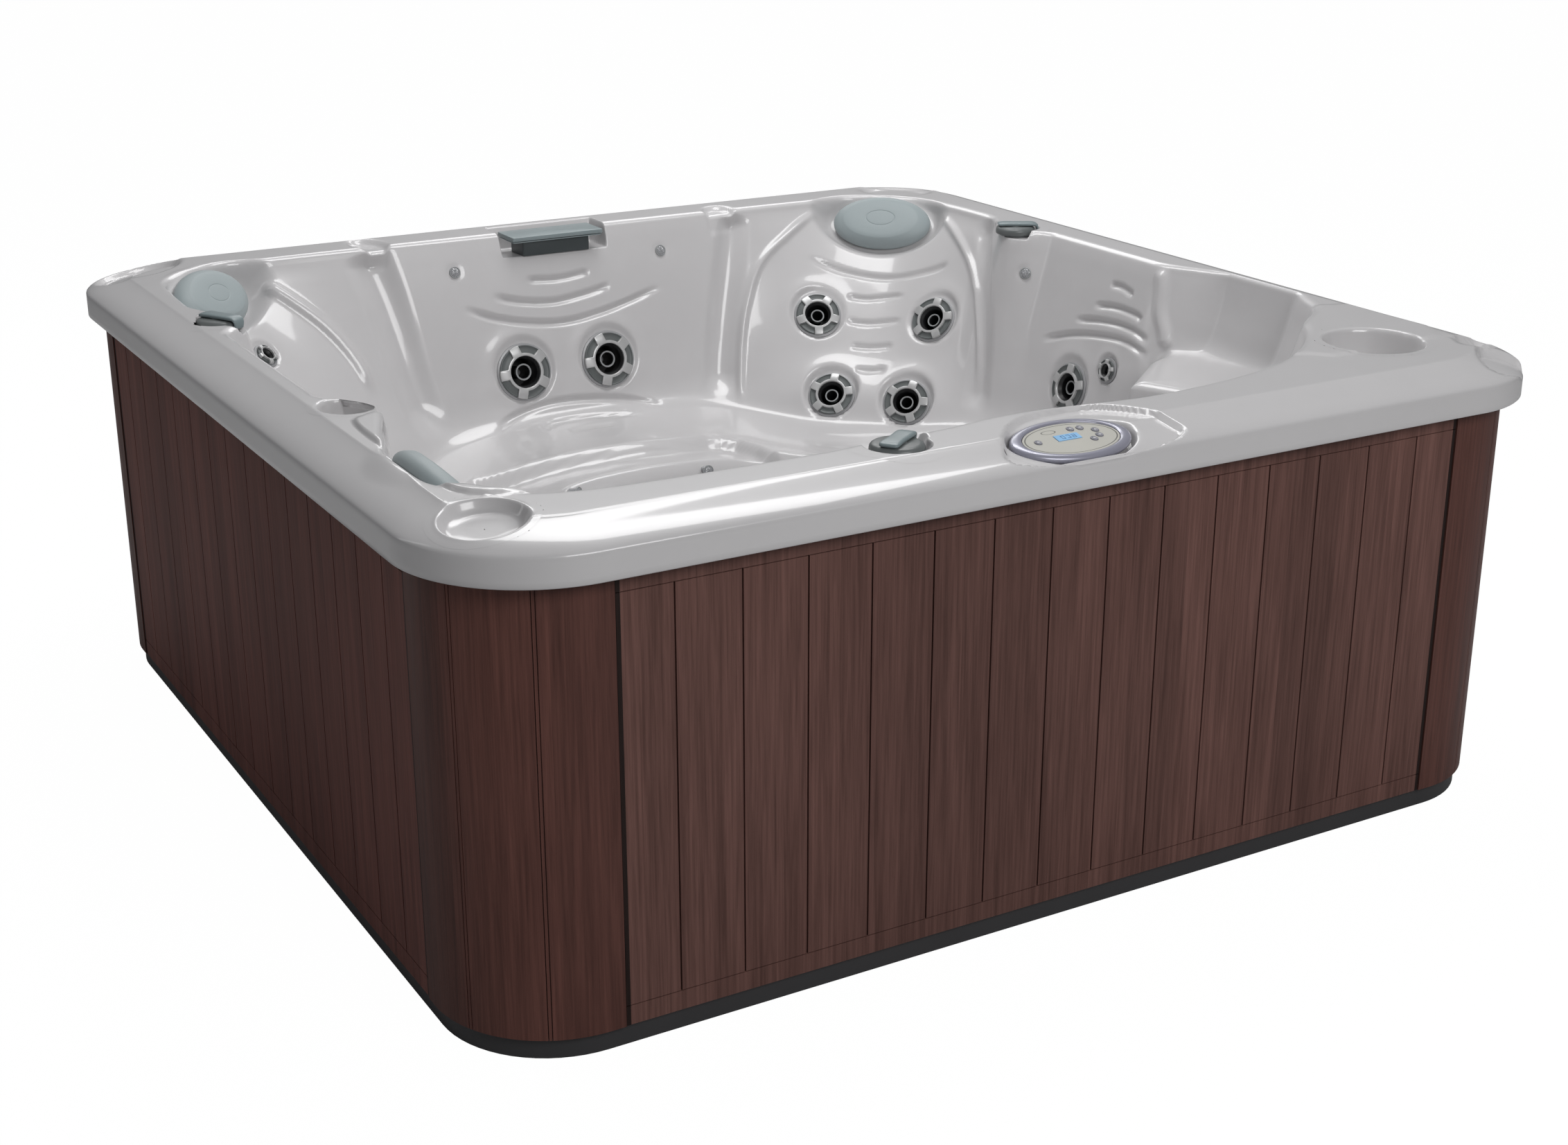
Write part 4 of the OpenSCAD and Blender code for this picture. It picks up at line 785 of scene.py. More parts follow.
# The forms go on last, with a low ridge round the footwell's edge
ridge_h, ridge_at, ridge_w = 9, 14, 10
shell_points = np.vstack(shell_points)
x, y, z = shell_points.T
shell_points[:, 2] += relief(x, y, rim_forms) * ease(skirt_z - 34, skirt_z - 2, z)
on_seat = ease(440, 415, z) * ease(330, 360, z)
past_well = np.hypot(x, y) - well_edge(np.degrees(np.arctan2(y, x)))
shell_points[:, 2] += on_seat * ridge_h * np.exp(-((past_well - ridge_at) / ridge_w) ** 2)
shell_points[:, 2] += on_seat * relief(x, y, seat_forms)

mm = 0.001


def new_piece(name, points, faces, materials, body, replaced, sharp=None, face_materials=None):
    """Makes a mesh piece from points in mm and puts it on its body."""
    mesh = bpy.data.meshes.new(name)
    mesh.from_pydata((np.asarray(points, float) * mm).tolist(), [], [list(map(int, f)) for f in faces])
    mesh.validate()
    mesh.shade_smooth()
    if sharp:
        mesh.set_sharp_from_angle(angle=math.radians(sharp))
    for material in materials:
        mesh.materials.append(material)
    if face_materials is not None:
        mesh.polygons.foreach_set("material_index", np.asarray(face_materials, np.int32))
    made = bpy.data.objects.new(name, mesh)
    bpy.context.scene.collection.objects.link(made)
    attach(made, body)
    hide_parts(*replaced)
    return made


pearl, given, result = effect(
    "pearl_swirl",
    {"Colour": (0.6, 0.6, 0.6, 1), "Swirl": 0.08, "Roughness": 0.2}, ["Color", "Roughness", "Height"])
place = node(pearl, "TexCoord").outputs["Object"]
warp = node(pearl, "TexNoise", {"Vector": place, "Scale": 2.2, "Detail": 3})
bent = node(pearl, "VectorMath", {0: place, 1: warp.outputs["Color"]}, operation="ADD").outputs[0]
veins = node(pearl, "TexNoise", {
    "Vector": bent, "Scale": 9, "Detail": 6, "Roughness": 0.6}).outputs["Fac"]
swirl = calc(pearl, calc(pearl, veins, 0.5, "SUBTRACT"), given["Swirl"], "MULTIPLY")
tint(pearl, given["Colour"], calc(pearl, swirl, 1), result)
rough = calc(pearl, calc(pearl, veins, 0.06, "MULTIPLY"), given["Roughness"])
pearl.links.new(rough, result["Roughness"])
ripple = node(pearl, "TexNoise", {"Vector": place, "Scale": 38, "Detail": 2})
pearl.links.new(ripple.outputs["Fac"], result["Height"])
acrylic = finish("pearl_acrylic", pearl, {
    "Colour": (0.545, 0.535, 0.54, 1), "Swirl": 0.05, "Roughness": 0.27}, bump=0.08, depth=0.0006,
    shader={"Coat Weight": 0.6, "Coat Roughness": 0.07, "Specular IOR Level": 0.4})

new_piece("shell_skin", shell_points, shell_faces, [acrylic], "tub", ["shell"])


# Jets: a fixed body behind the wall, a nozzle in it, and a ring that is turned by hand to close
# it. The ring is satin chromed plastic with five wide tabs over grey inserts and a black throat.
def lathe(profile, around=96):
    """Points and faces of a turned form, from (radius, height) pairs that run up its outside."""
    turn = np.arange(around) * 2 * math.pi / around
    points, rows, faces = [], [], []
    for radius, height in profile:
        start = len(points)
        if radius == 0:
            rows.append([start] * around)
            points.append((0, 0, height))
        else:
            rows.append(list(range(start, start + around)))
            points += [(radius * math.cos(t), radius * math.sin(t), height) for t in turn]
    for low, high in zip(rows, rows[1:]):
        for j in range(around):
            k = (j + 1) % around
            face = list(dict.fromkeys([low[j], low[k], high[k], high[j]]))
            if len(face) > 2:
                faces.append(face)
    return np.array(points, float), faces


def joined(forms):
    """One mesh from several (points, faces, material number or numbers) forms."""
    points, faces, numbers, start = [], [], [], 0
    for some, sides, number in forms:
        points.append(some)
        faces += [[start + i for i in side] for side in sides]
        numbers += [number] * len(sides) if isinstance(number, int) else list(number)
        start += len(some)
    return np.vstack(points), faces, numbers


def set_on(points, centre, frame_axes):
    """Moves points from a fitting's own axes to its place."""
    return np.asarray(centre, float) + np.asarray(points) @ np.asarray(frame_axes)


def jet_spot(name):
    """Middle, axes and ring radius of a jet."""
    way, z, ring = jet_places[name]
    normal = wall_normal(way, z)
    return wall_point(way, z) - jet_sink * normal, axes(normal), ring


# Sizes in mm along and across a jet; ratios are shares of its ring's radius
barrel_ratio, jet_depth, barrel_wall, hub_wall = 0.62, 78, 3, 3
flange_top, ring_foot, ring_seat, tab_top = 3.3, 3.65, 8.6, 12.5
tabs_n, tab_half, tab_root = 5, 0.19, 0.70
# How far each ring stands turned
ring_turns = {
    "jet_back_left": 39, "jet_back_right": 39, "jet_far_upper_left": 54, "jet_far_upper_right": 17,
    "jet_far_lower_left": 14, "jet_far_lower_right": 3, "jet_right_large": 18, "jet_right_small": 18,
    "jet_left_small": 30, "jet_near_left": 0, "jet_near_right": 36}


def face_outline(ring, inset):
    """Outline of a ring's face: a round hub with straight-sided tabs that reach the edge."""
    tip, root, half = ring - inset, tab_root * ring - inset, tab_half * ring - inset
    at_tip, at_root = math.asin(half / tip), math.asin(half / root)
    outline = []
    side = [(r, math.asin(half / r)) for r in (mix(root, tip, 0.33), mix(root, tip, 0.66))]
    for i in range(tabs_n):
        way = 2 * math.pi * i / tabs_n
        outline += [(root, way - at_root)] + [(r, way - t) for r, t in side]
        outline += [(tip, way + at_tip * t) for t in np.linspace(-1, 1, 9)]
        outline += [(r, way + t) for r, t in reversed(side)]
        outline += [(root, way + t) for t in np.linspace(at_root, 2 * math.pi / tabs_n - at_root, 9)[:-1]]
    return np.array(outline)


def ring_face(ring):
    """The chromed face of a jet ring, with its tabs bent down a little towards their tips."""
    rows = []
    for inset, drop in ((-0.1, tab_top - 7.4), (0, 1.0), (0.35, 0.35), (1.1, 0)):
        radius, turn = face_outline(ring, inset).T
        bend = 1.4 * np.maximum((radius / ring - tab_root) / (1 - tab_root), 0) ** 2
        rows.append(np.stack([radius * np.cos(turn), radius * np.sin(turn), tab_top - drop - bend], -1))
    for share, drop in ((0.625, 0), (0.605, 0.15), (0.592, 1.0), (0.588, 4.5)):
        rows.append(np.stack([share * ring * np.cos(turn), share * ring * np.sin(turn),
                              np.full_like(turn, tab_top - drop)], -1))
    return np.vstack(rows), ring_faces(len(rows), len(turn))


chrome = cast("jet_chrome", (0.46, 0.46, 0.46), 0.08, 60.0, 2500.0, 0.34, 0.1, bump=0.05,
              shader={"Metallic": 0.35})
insert_grey = cast("jet_insert", (0.105, 0.115, 0.115), 0.25, 90.0, 2400.0, 0.4, 0.2, bump=0.1)
throat_black = cast("jet_throat", (0.008, 0.008, 0.009), 0.3, 60.0, 1800.0, 0.45, 0.2, bump=0.1)
flange_grey = cast("jet_flange", (0.33, 0.33, 0.34), 0.1, 40.0, 1800.0, 0.3, 0.1, bump=0.05)
nozzle_grey = cast("jet_nozzle_grey", (0.30, 0.31, 0.315), 0.15, 60.0, 1800.0, 0.35, 0.15, bump=0.05)

body_forms, nozzle_forms, ring_around, body_around = [], [], 96, 64
for name, turned in ring_turns.items():
    centre, own_axes, ring = jet_spot(name)
    barrel = ring * barrel_ratio
    hub = barrel - barrel_wall - 0.6
    bore = hub - min(hub_wall, hub * 0.2)
    profile = [(bore, ring_foot - 22), (hub, ring_foot - 22), (hub, ring_foot), (ring - 1.7, ring_foot),
               (ring - 1.2, 4.6), (ring - 1.0, 7.6), (ring - 1.6, 8.4), (0.955 * ring, ring_seat),
               (0.94 * ring, 8.1), (0.925 * ring, 7.0), (0.87 * ring, 6.3), (0.78 * ring, 6.7),
               (0.70 * ring, 7.5), (0.60 * ring, 7.7), (0.59 * ring, 6.0), (bore + 0.6, 2.0),
               (bore, 0), (bore, ring_foot - 22)]
    turned_form = lathe(profile, ring_around)
    numbers = np.repeat([2] * 2 + [1] * 11 + [2] * 4, ring_around)      # throat, insert, throat
    face_points, face_sides = ring_face(ring)
    spin = np.array(Matrix.Rotation(math.radians(turned), 3, "Z")).T
    points, faces, numbers = joined([(*turned_form, numbers), (face_points @ spin, face_sides, 0)])
    new_piece("ring_of_" + name, set_on(points, centre, own_axes), faces,
              [chrome, insert_grey, throat_black], name, [name], sharp=35,
              face_materials=numbers)

    points, faces = lathe([
        (0, -jet_depth), (barrel, -jet_depth), (barrel, 0.3), (ring + 4, 0.3), (ring + 4, 2.0),
        (ring + 3.5, 2.9), (ring + 2.6, flange_top), (barrel - 2.2, flange_top), (barrel - 3, 2.4),
        (barrel - 3, -jet_depth + 4), (barrel - 4, -jet_depth + 3), (0, -jet_depth + 3)], body_around)
    numbers = np.repeat([0] * 7 + [1] * 4, body_around)                 # flange, throat
    body_forms.append((set_on(points, centre, own_axes), faces, numbers))
    port = min(12, barrel * 0.6)
    points, faces = lathe([(0, 0), (port, 0), (port, barrel + 20), (port - 2, barrel + 22),
                           (0, barrel + 22)], 32)
    points = np.stack([points[:, 2], points[:, 1], -points[:, 0] - jet_depth + 14], -1)
    body_forms.append((set_on(points, centre, own_axes), faces, 0))

    rn = barrel - barrel_wall - 0.3
    foot = -jet_depth + 3.3
    points, faces = lathe([
        (0, foot), (rn, foot), (rn, foot + 6), (0.42 * rn, foot + 6.2), (0.42 * rn, -30),
        (0.47 * rn, -18), (0.50 * rn, -9), (0.55 * rn, -3.2), (0.54 * rn, -2.0), (0.45 * rn, -2.0),
        (0.43 * rn, -3.6), (0.40 * rn, -14), (0.37 * rn, -24), (0.34 * rn, -60), (0, -60.5)], body_around)
    numbers = np.repeat([1] * 5 + [0] * 5 + [1] * 4, body_around)       # throat, nozzle, throat
    nozzle_forms.append((set_on(points, centre, own_axes), faces, numbers))

points, faces, numbers = joined(body_forms)
new_piece("jet_body_set", points, faces, [flange_grey, throat_black], "tub",
          ["jet_bodies"], sharp=35, face_materials=numbers)
points, faces, numbers = joined(nozzle_forms)
new_piece("jet_nozzle_set", points, faces, [nozzle_grey, throat_black], "tub",
          ["jet_nozzles"], sharp=35, face_materials=numbers)

# Pillows: head rests of closed-cell foam with a soft moulded skin, each with a flat oval face,
# a rolled edge and a blank oval mark. They are pressed on studs in shallow seats of the shell.
pillow_t = 45
# Rings of a pillow from its back to its face: shares of its half width and of its thickness
pillow_rings = [
    (0.86, 0), (0.93, 0.02), (0.97, 0.07), (0.992, 0.15), (1.0, 0.24), (0.998, 0.31), (0.985, 0.395),
    (0.96, 0.48), (0.925, 0.56), (0.885, 0.63), (0.85, 0.682), (0.82, 0.722), (0.80, 0.745),
    (0.785, 0.768), (0.74, 0.803), (0.62, 0.828), (0.45, 0.848), (0.315, 0.857), (0.304, 0.855),
    (0.297, 0.839), (0.284, 0.839), (0.277, 0.857), (0.266, 0.859), (0.14, 0.865)]
foam_skin, given, result = effect(
    "foam_skin", {"Colour": (0.33, 0.37, 0.38, 1), "Grain Scale": 420.0, "Roughness": 0.5},
    ["Color", "Roughness", "Height"])
place = node(foam_skin, "TexCoord").outputs["Object"]
shade = centred_noise(foam_skin, place, 5, 3, 0.08, 1)
tint(foam_skin, given["Colour"], shade, result)
cells = node(foam_skin, "TexVoronoi", {
    "Vector": place, "Scale": given["Grain Scale"]}).outputs["Distance"]
foam_skin.links.new(calc(foam_skin, calc(foam_skin, cells, 0.12, "MULTIPLY"), given["Roughness"]),
                    result["Roughness"])
soft = node(foam_skin, "TexNoise", {"Vector": place, "Scale": 60, "Detail": 3}).outputs["Fac"]
foam_skin.links.new(calc(foam_skin, cells, calc(foam_skin, soft, 0.8, "MULTIPLY")), result["Height"])
pillow_skin = finish("pillow_skin", foam_skin, {"Colour": (0.285, 0.33, 0.34, 1), "Roughness": 0.46},
                     bump=0.12, depth=0.0006, shader={"Sheen Weight": 0.12, "Sheen Roughness": 0.6})
for name, (way, z, turn) in pillow_places.items():
    normal = pillow_normal(turn)
    points, faces = lathe([(0, 0)] + pillow_rings + [(0, 0.867)], 120)
    points = points * (pillow_half_w, pillow_half_h, pillow_t) + (0, 0, 0.3)
    points = set_on(points, wall_point(way, z) - pillow_sink * normal, axes(normal))
    pad = new_piece(name + "_pad", points, faces, [pillow_skin], "tub", [name])


# Waterfall: a flat cap of grey-blue plastic over a darker spout body in the notch of the back
# rim. Water comes out of the slot between them.
def capped(rings, around):
    """Faces of a row of rings that is closed at both ends."""
    return ring_faces(rings, around) + [
        tuple(reversed(range(around))), tuple((rings - 1) * around + i for i in range(around))]


def rounded_block(low, high, corner, edge):
    """A block with round upright corners and softened top and bottom edges."""
    low, high, steps = np.asarray(low, float), np.asarray(high, float), 4
    centre, half = (low + high) / 2, (high - low) / 2
    bends = [(edge * (1 - math.sin(a)), edge * (1 - math.cos(a))) for a in
             np.linspace(0, math.pi / 2, steps)]
    rows = []
    for inset, z in ([(inset, low[2] + rise) for inset, rise in bends]
                     + [(rise, high[2] - inset) for inset, rise in bends]):
        row = []
        for sx, sy, start in ((1, 1, 0), (-1, 1, 90), (-1, -1, 180), (1, -1, 270)):
            for a in np.radians(np.linspace(start, start + 90, steps + 1)):
                row.append((centre[0] + sx * (half[0] - corner) + (corner - inset) * math.cos(a),
                            centre[1] + sy * (half[1] - corner) + (corner - inset) * math.sin(a), z))
        rows.append(row)
    return np.array(rows).reshape(-1, 3), capped(len(rows), len(rows[0]))


trim_plastic = cast("waterfall_plastic", (0.23, 0.275, 0.285), 0.1, 12.0, 1500.0, 0.32, 0.12, bump=0.08)
dark_trim = cast("spout_plastic", (0.045, 0.055, 0.058), 0.15, 12.0, 1500.0, 0.38, 0.12, bump=0.08)
fall_front, fall_deep, cap_top, cap_bottom = 849.8, 86, 829, 820


def fall_block(half, front, back, bottom, top, corner, edge):
    """A block of the waterfall: half its width, and its front and back from fall_front."""
    return rounded_block((waterfall_x - half, fall_front + front, bottom),
                         (waterfall_x + half, fall_front + back, top), corner, edge)


points, faces = fall_block(110, 0, fall_deep, cap_bottom, cap_top, 2.5, 0.8)
new_piece("waterfall_lid", points, faces, [trim_plastic], "tub", ["waterfall_cap"], sharp=50)
lip_plate = fall_block(108, 0.6, fall_deep - 3, 816.4, 818.4, 2.5, 0.5)
spout = fall_block(81, 12, fall_deep - 4, notch_z + 0.3, 816.6, 4, 1)
channel = fall_block(73, 30, 76, 815, 820, 3, 0.5)
points, faces, numbers = joined([(*lip_plate, 0), (*spout, 1), (*channel, 1)])
new_piece("waterfall_spout", points, faces, [trim_plastic, dark_trim], "tub",
          ["waterfall_body"], sharp=50, face_materials=numbers)

# Diverters: three valves under the rim. Each has a round knob of grey plastic with a lighter
# lever across it, whose end hangs down over the side of the knob.
puck_grey = cast("knob_grey", (0.115, 0.125, 0.125), 0.15, 30.0, 1500.0, 0.36, 0.15, bump=0.1)
lever_grey = cast("lever_grey", (0.19, 0.235, 0.245), 0.1, 30.0, 1500.0, 0.34, 0.12, bump=0.1)
knob_turns = {"diverter_knob_front": 35, "diverter_knob_left": -60, "diverter_knob_right": -30}
knob_foot, lever_around = 4.6, 24       # how high a knob stands over its ledge; points round a lever
# Middle line of the lever: along, height, half width, half thickness
lever_line = [(-39.5, 18.6, 9, 1.6), (-38.5, 19.2, 13, 2.8), (-36, 19.8, 15.5, 3.6),
              (-28, 20.4, 16.5, 4.0), (-14, 20.6, 15.5, 4.1), (0, 20.4, 15, 4.1),
              (14, 20.5, 15.5, 4.1), (28, 20.7, 16, 4.0), (38, 20.6, 15.5, 3.8),
              (44, 19.6, 14.5, 3.4), (47.6, 17, 13.5, 3.1), (48.9, 13, 12.5, 2.9),
              (49.1, 8, 11.5, 2.7), (49.0, 3.5, 10.5, 2.4), (48.9, 2.2, 9, 1.6)]


def lever():
    """A bar of rounded section along lever_line."""
    line = np.array(lever_line)
    slope = np.gradient(line[:, :2], axis=0)
    slope /= np.linalg.norm(slope, axis=1, keepdims=True)
    rows = []
    for (x, z, wide, thick), (dx, dz) in zip(line, slope):
        for t in np.radians(np.arange(0, 360, 360 / lever_around)):
            c, s = math.cos(t), math.sin(t)
            y = -wide * math.copysign(abs(c) ** 0.5, c)
            n = thick * math.copysign(abs(s) ** 0.6, s)
            rows.append((x - n * dz, y, z + n * dx))
    return np.array(rows), capped(len(line), lever_around)


for name, (kx, ky) in knob_places.items():
    turn = math.radians(knob_turns[name])
    own_axes = np.array([(math.cos(turn), math.sin(turn), 0), (-math.sin(turn), math.cos(turn), 0),
                         (0, 0, 1)])
    puck = lathe([(0, 0), (42.6, 0), (43.6, 0.8), (44, 2.5), (44, 7.5), (43.3, 10.5), (41.4, 13.2),
                  (38.2, 15.2), (34, 16), (16, 16.2), (14.6, 16.6), (14.4, 18), (0, 18.2)])
    points, faces, numbers = joined([(*puck, 0), (*lever(), 1)])
    new_piece(name + "_handle", set_on(points, (kx, ky, ledge_z + knob_foot), own_axes), faces,
              [puck_grey, lever_grey], name, [name], sharp=45, face_materials=numbers)
dress(cast("valve_plastic", (0.20, 0.21, 0.215), 0.2, 25.0, 1200.0, 0.45, 0.15), "diverter_valves")

# Lights: clear screw-in lenses in a thin grey collar, three high on the walls and two in the
# footwell. Fine ribs in the lens spread the light.
clear_lens = cast("clear_lens", (0.55, 0.56, 0.58), 0.1, 90.0, 900.0, 0.08, 0.08, bump=0.15, shader={
    "Transmission Weight": 0.55, "IOR": 1.49, "Coat Weight": 0.5, "Coat Roughness": 0.05})
lens_forms = []
collar, collar_sides = lathe([(10.2, 0.3), (13, 0.3), (13, 1.8), (12.6, 2.8), (11.8, 3.3),
                              (10.9, 3.2), (10.4, 2.4)], 48)
glass, glass_sides = lathe([(0, -20), (9, -20), (9, 0.2), (10.4, 0.4), (10.4, 2.4), (9.6, 3.3),
                            (7.6, 4.2), (5, 4.9), (2.6, 5.2), (0, 5.3)], 48)
ridges = (glass[:, 2] > 2.5) & (glass[:, 2] < 5.25)
glass[ridges, 2] += 0.3 * np.cos(12 * np.arctan2(glass[ridges, 1], glass[ridges, 0]))
for spots, point, depth in ((wall_lights, wall_point, 1), (well_lights, well_point, 0)):
    for way, z in spots:
        normal = wall_normal(way, z, point)
        centre = point(way, z) - depth * normal
        lens_forms += [(set_on(collar, centre, axes(normal)), collar_sides, 1),
                       (set_on(glass, centre, axes(normal)), glass_sides, 0)]
points, faces, numbers = joined(lens_forms)
new_piece("light_lens_set", points, faces, [clear_lens, nozzle_grey], "tub",
          ["light_lenses"], sharp=35, face_materials=numbers)

# Suction covers: slotted grey domes low in the footwell that the pump draws the water through.
# They are injection moulded and screwed to their elbows.
dress(cast("suction_plastic", (0.33, 0.34, 0.35), 0.12, 30.0, 1500.0, 0.4, 0.12, bump=0.1),
      "suction_covers")

# Control panel: a pearl grey bezel clipped into the rim, with a champagne face plate, a small
# blue liquid crystal window and six soft round buttons.
bezel_pearl = finish("bezel_pearl", pearl, {
    "Colour": (0.30, 0.30, 0.365, 1), "Swirl": 0.05, "Roughness": 0.26}, bump=0.05,
    shader={"Metallic": 0.25, "Coat Weight": 0.3, "Coat Roughness": 0.15})
# Rings of the bezel over and under its edge: half width, half height and place along the normal
bezel_rings = [(90, 48, -5.4), (106, 57, -8.6), (109, 60, -8.4), (110.3, 61.2, -6.6),
               (110.6, 61.5, -3.4), (109.6, 60.6, -0.6), (107.2, 58.4, 1.4), (103.4, 55.4, 2.7),
               (99, 52.4, 3.3), (95, 50.2, 3.2), (92, 48.9, 2.5), (90.2, 48.1, 1.4),
               (89.7, 47.6, -2.6), (89.2, 47.2, -3.4), (90, 48, -5.4)]
bezel_around = 144
points, faces = lathe([(1, z) for _, _, z in bezel_rings], bezel_around)
spread = np.repeat([(a, b, 1) for a, b, _ in bezel_rings], bezel_around, axis=0)
new_piece("control_bezel_ring", set_on(points * spread, panel_at, panel_axes), faces, [bezel_pearl],
          "tub", ["control_bezel"], sharp=40)

plate = cast("face_plate", (0.50, 0.49, 0.445), 0.05, 20.0, 2500.0, 0.3, 0.08, bump=0.04)
tree = plate.node_tree
spot = node(tree, "Mapping", {
    "Vector": node(tree, "TexCoord").outputs["Object"], "Location": panel_at * mm,
    "Rotation": (panel_tilt, 0, 0)}, vector_type="TEXTURE").outputs[0]


def ellipse_line(x, y, half_w, half_h, width):
    """1 along the line of an ellipse on the plate, in metres, and 0 beside it."""
    moved = node(tree, "VectorMath", {0: spot, 1: (x, y, 0)}, operation="SUBTRACT").outputs[0]
    shares = (1 / half_w, 1 / half_h, 0)
    sized = node(tree, "VectorMath", {0: moved, 1: shares}, operation="MULTIPLY").outputs[0]
    reach = node(tree, "VectorMath", {0: sized}, operation="LENGTH").outputs["Value"]
    off = calc(tree, calc(tree, reach, 1, "SUBTRACT"), 0, "ABSOLUTE")
    return calc(tree, off, width, "LESS_THAN")


darken(plate, calc(tree, ellipse_line(0, 0, 0.0845, 0.0425, 0.014),
                   ellipse_line(-0.026, 0.027, 0.013, 0.0052, 0.09), "MAXIMUM"), 0.72)
dress(plate, "control_face")

window = cast("display_window", (0.30, 0.56, 0.86), 0.35, 45.0, 900.0, 0.15, 0.05, bump=0,
              shader={"Coat Weight": 0.6, "Coat Roughness": 0.05})
liquid = cast("display_digits", (0.04, 0.12, 0.28), 0.1, 90.0, 900.0, 0.3, 0.05, bump=0)


def slab(x0, x1, y0, y1, z0, z1):
    """A small plain-sided bar, for marks."""
    corner = [(x, y, z) for z in (z0, z1) for x, y in ((x0, y0), (x1, y0), (x1, y1), (x0, y1))]
    return np.array(corner, float), capped(2, 4)


# Seven-segment digits: bars of each digit in the order top, middle, bottom, then the four sides
glass_top, digit_w, digit_h, digit_pitch = 1.9, 6.4, 9.6, 10.5
marks = [(*slab(-26.7, 18.7, -3.2, 13.2, 0.5, glass_top), 0)]
for i, bars in enumerate(("1011111", "1010101", "1110111")):
    x0, y0 = -16 + digit_pitch * i, 0.4
    x1, y1, half = x0 + digit_w, y0 + digit_h, y0 + digit_h / 2
    spans = [(x0, x1, y1 - 1, y1), (x0, x1, half - 0.5, half + 0.5), (x0, x1, y0, y0 + 1),
             (x0, x0 + 1, half, y1), (x1 - 1, x1, half, y1),
             (x0, x0 + 1, y0, half), (x1 - 1, x1, y0, half)]
    marks += [(*slab(*span, glass_top - 0.2, glass_top + 0.12), 1)
              for span, on in zip(spans, bars) if on == "1"]
points, faces, numbers = joined(marks)
new_piece("display_glass", set_on(points, panel_at, panel_axes), faces, [window, liquid], "tub",
          ["control_display"], sharp=30, face_materials=numbers)
rubber_grey = cast("button_rubber", (0.20, 0.20, 0.23), 0.15, 120.0, 2500.0, 0.42, 0.1, bump=0.1)
button_places = {"button_temperature": (-62, 3), "button_jets": (16, 26), "button_pump": (34, 25),
                 "button_light": (55, 12), "button_up": (52, -4), "button_down": (36, -12)}
print_white = cast("button_print", (0.62, 0.62, 0.64), 0.1, 90.0, 2500.0, 0.45, 0.05, bump=0)
cap = lathe([(0, -3.2), (6.5, -3.2), (6.5, 1.5), (6.25, 2.05), (5.7, 2.38), (5.0, 2.2), (3.2, 1.9),
             (1.2, 2.1), (0, 2.2)], 48)
points, faces, numbers = joined([(*cap, 0), (*slab(-2.6, 2.6, -0.55, 0.55, 1.7, 2.36), 1),
                                 (*slab(-0.55, 0.55, -2.2, 2.2, 1.7, 2.34), 1)])
for name, (x, y) in button_places.items():
    new_piece(name + "_cap", set_on(points + (x, y, 0), panel_at, panel_axes), faces,
              [rubber_grey, print_white], name, [name], sharp=50, face_materials=numbers)

# Equipment: pump, heater, control box, filter and plumbing, hidden behind the front panel.
# Painted castings, rolled steel, white solvent-welded pipe, a pleated paper cartridge and brass.
metal = {"Metallic": 0.95}
for look, shader, *held in (
        (("motor_enamel", (0.045, 0.06, 0.075), 0.25, 14.0, 600.0, 0.38, 0.15), {}, "pump_motor"),
        (("wet_end_black", (0.012, 0.012, 0.013), 0.3, 20.0, 900.0, 0.48, 0.15), {}, "pump_wet_end"),
        (("heater_tube", (0.55, 0.55, 0.55), 0.15, 40.0, 1800.0, 0.3, 0.2), metal, "heater"),
        (("box_plastic", (0.17, 0.18, 0.19), 0.15, 10.0, 700.0, 0.5, 0.12), {},
         "control_box", "filter_housing"),
        (("pipe_pvc", (0.72, 0.72, 0.69), 0.1, 12.0, 900.0, 0.35, 0.1), {},
         "water_manifold", "air_manifold", "suction_pipes", "pressure_pipes"),
        (("hose_vinyl", (0.55, 0.57, 0.56), 0.12, 16.0, 500.0, 0.3, 0.1), {"Coat Weight": 0.2},
         "drain_hose"),
        (("lid_plastic", (0.025, 0.025, 0.027), 0.25, 20.0, 900.0, 0.45, 0.12), {},
         "filter_lid", "drain_cap"),
        (("filter_paper", (0.75, 0.78, 0.80), 0.12, 60.0, 1600.0, 0.85, 0.08), {}, "filter_cartridge"),
        (("valve_brass", (0.62, 0.42, 0.16), 0.3, 70.0, 1500.0, 0.36, 0.25), metal, "drain_valve")):
    dress(cast(*look, shader=shader), *held)

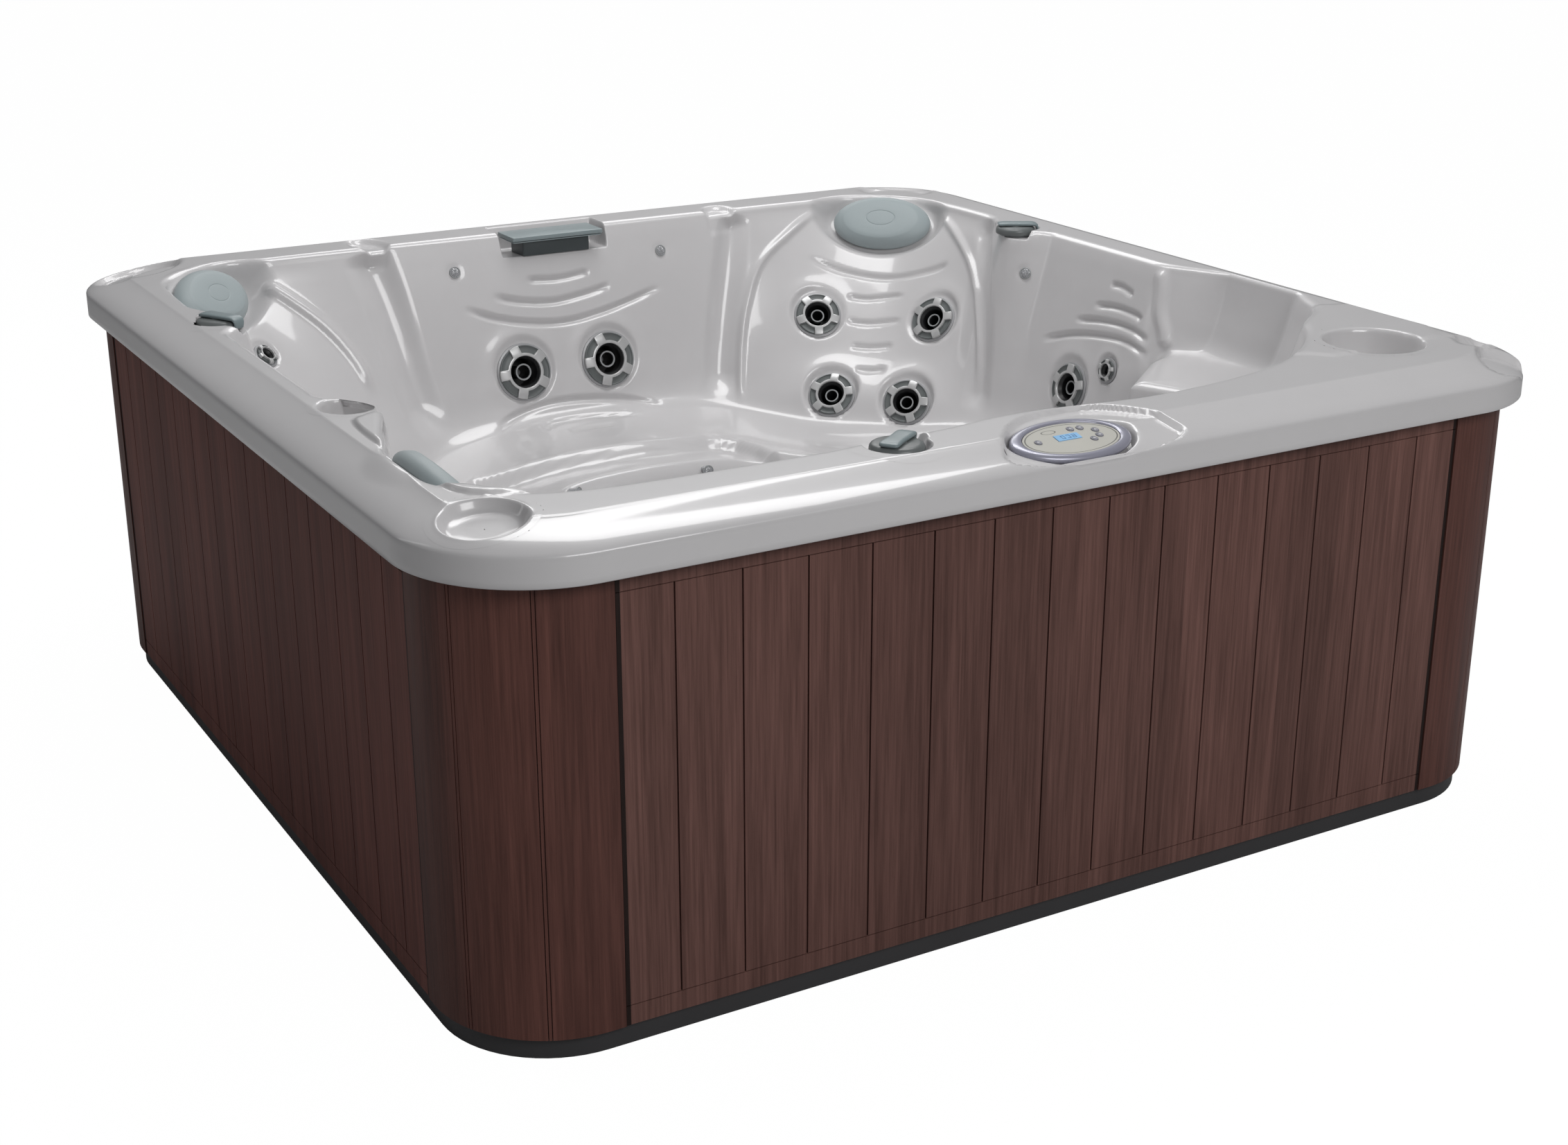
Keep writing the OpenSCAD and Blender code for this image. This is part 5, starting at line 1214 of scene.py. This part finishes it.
# Floor and light: a plain pale floor that keeps a light shadow, a soft sky, three broad lamps
# in front, behind and above, and a narrow one at the left for the streaks on the moulding.
studio = bpy.context.scene.world or bpy.data.worlds.new("studio")
bpy.context.scene.world = studio
studio.use_nodes = True
tree = studio.node_tree
tree.nodes.clear()
sky_strength, floor_grey, white_share = 0.2, 0.62, 0.97
seen = node(tree, "LightPath").outputs["Is Camera Ray"]
sky = node(tree, "Background", {"Color": (0.97, 0.98, 1, 1), "Strength": sky_strength})
backdrop = node(tree, "Background", {"Color": (1, 1, 1, 1), "Strength": 1.0})
both = node(tree, "MixShader", {0: seen, 1: sky.outputs[0], 2: backdrop.outputs[0]})
node(tree, "OutputWorld", {"Surface": both.outputs[0]})

floor_mesh = bpy.data.meshes.new("floor")
reach = 30                              # half the floor's width, in metres
floor_mesh.from_pydata([(-reach, -reach, 0), (reach, -reach, 0), (reach, reach, 0), (-reach, reach, 0)],
                       [], [(0, 1, 2, 3)])
floor = bpy.data.objects.new("floor", floor_mesh)
bpy.context.scene.collection.objects.link(floor)
pale = bpy.data.materials.new("pale_floor")
pale.use_nodes = True
tree = pale.node_tree
tree.nodes.clear()
seen = node(tree, "LightPath").outputs["Is Camera Ray"]
matt = node(tree, "BsdfDiffuse", {"Color": (floor_grey, floor_grey, floor_grey, 1)})
white = node(tree, "Emission", {"Color": (1, 1, 1, 1), "Strength": 1.02})
share = calc(tree, seen, white_share, "MULTIPLY")
both = node(tree, "MixShader", {0: share, 1: matt.outputs[0], 2: white.outputs[0]})
node(tree, "OutputMaterial", {"Surface": both.outputs[0]})
floor_mesh.materials.append(pale)


def lamp(name, at, target, size, watts):
    """A rectangular lamp that looks at its target."""
    data = bpy.data.lights.new(name, "AREA")
    data.shape, data.size, data.size_y = "RECTANGLE", size[0], size[1]
    data.energy = watts
    made = bpy.data.objects.new(name, data)
    made.location = at
    made.rotation_euler = (Vector(target) - Vector(at)).to_track_quat("-Z", "Y").to_euler()
    bpy.context.scene.collection.objects.link(made)


lamp("key_lamp", (0.2, -4.6, 3.2), (0, 0, 0.5), (2.4, 1.8), 100)
lamp("back_lamp", (1.6, 3.6, 3.4), (0, 0, 0.5), (3, 1.2), 40)
lamp("left_strip", (-3.0, 1.6, 2.6), (0.4, 0, 0.5), (0.5, 2.6), 6)
lamp("top_lamp", (0.5, 0.5, 3.2), (0.1, 0.1, 0.4), (2.2, 1.0), 50)

bpy.context.scene.view_settings.view_transform = "Standard"
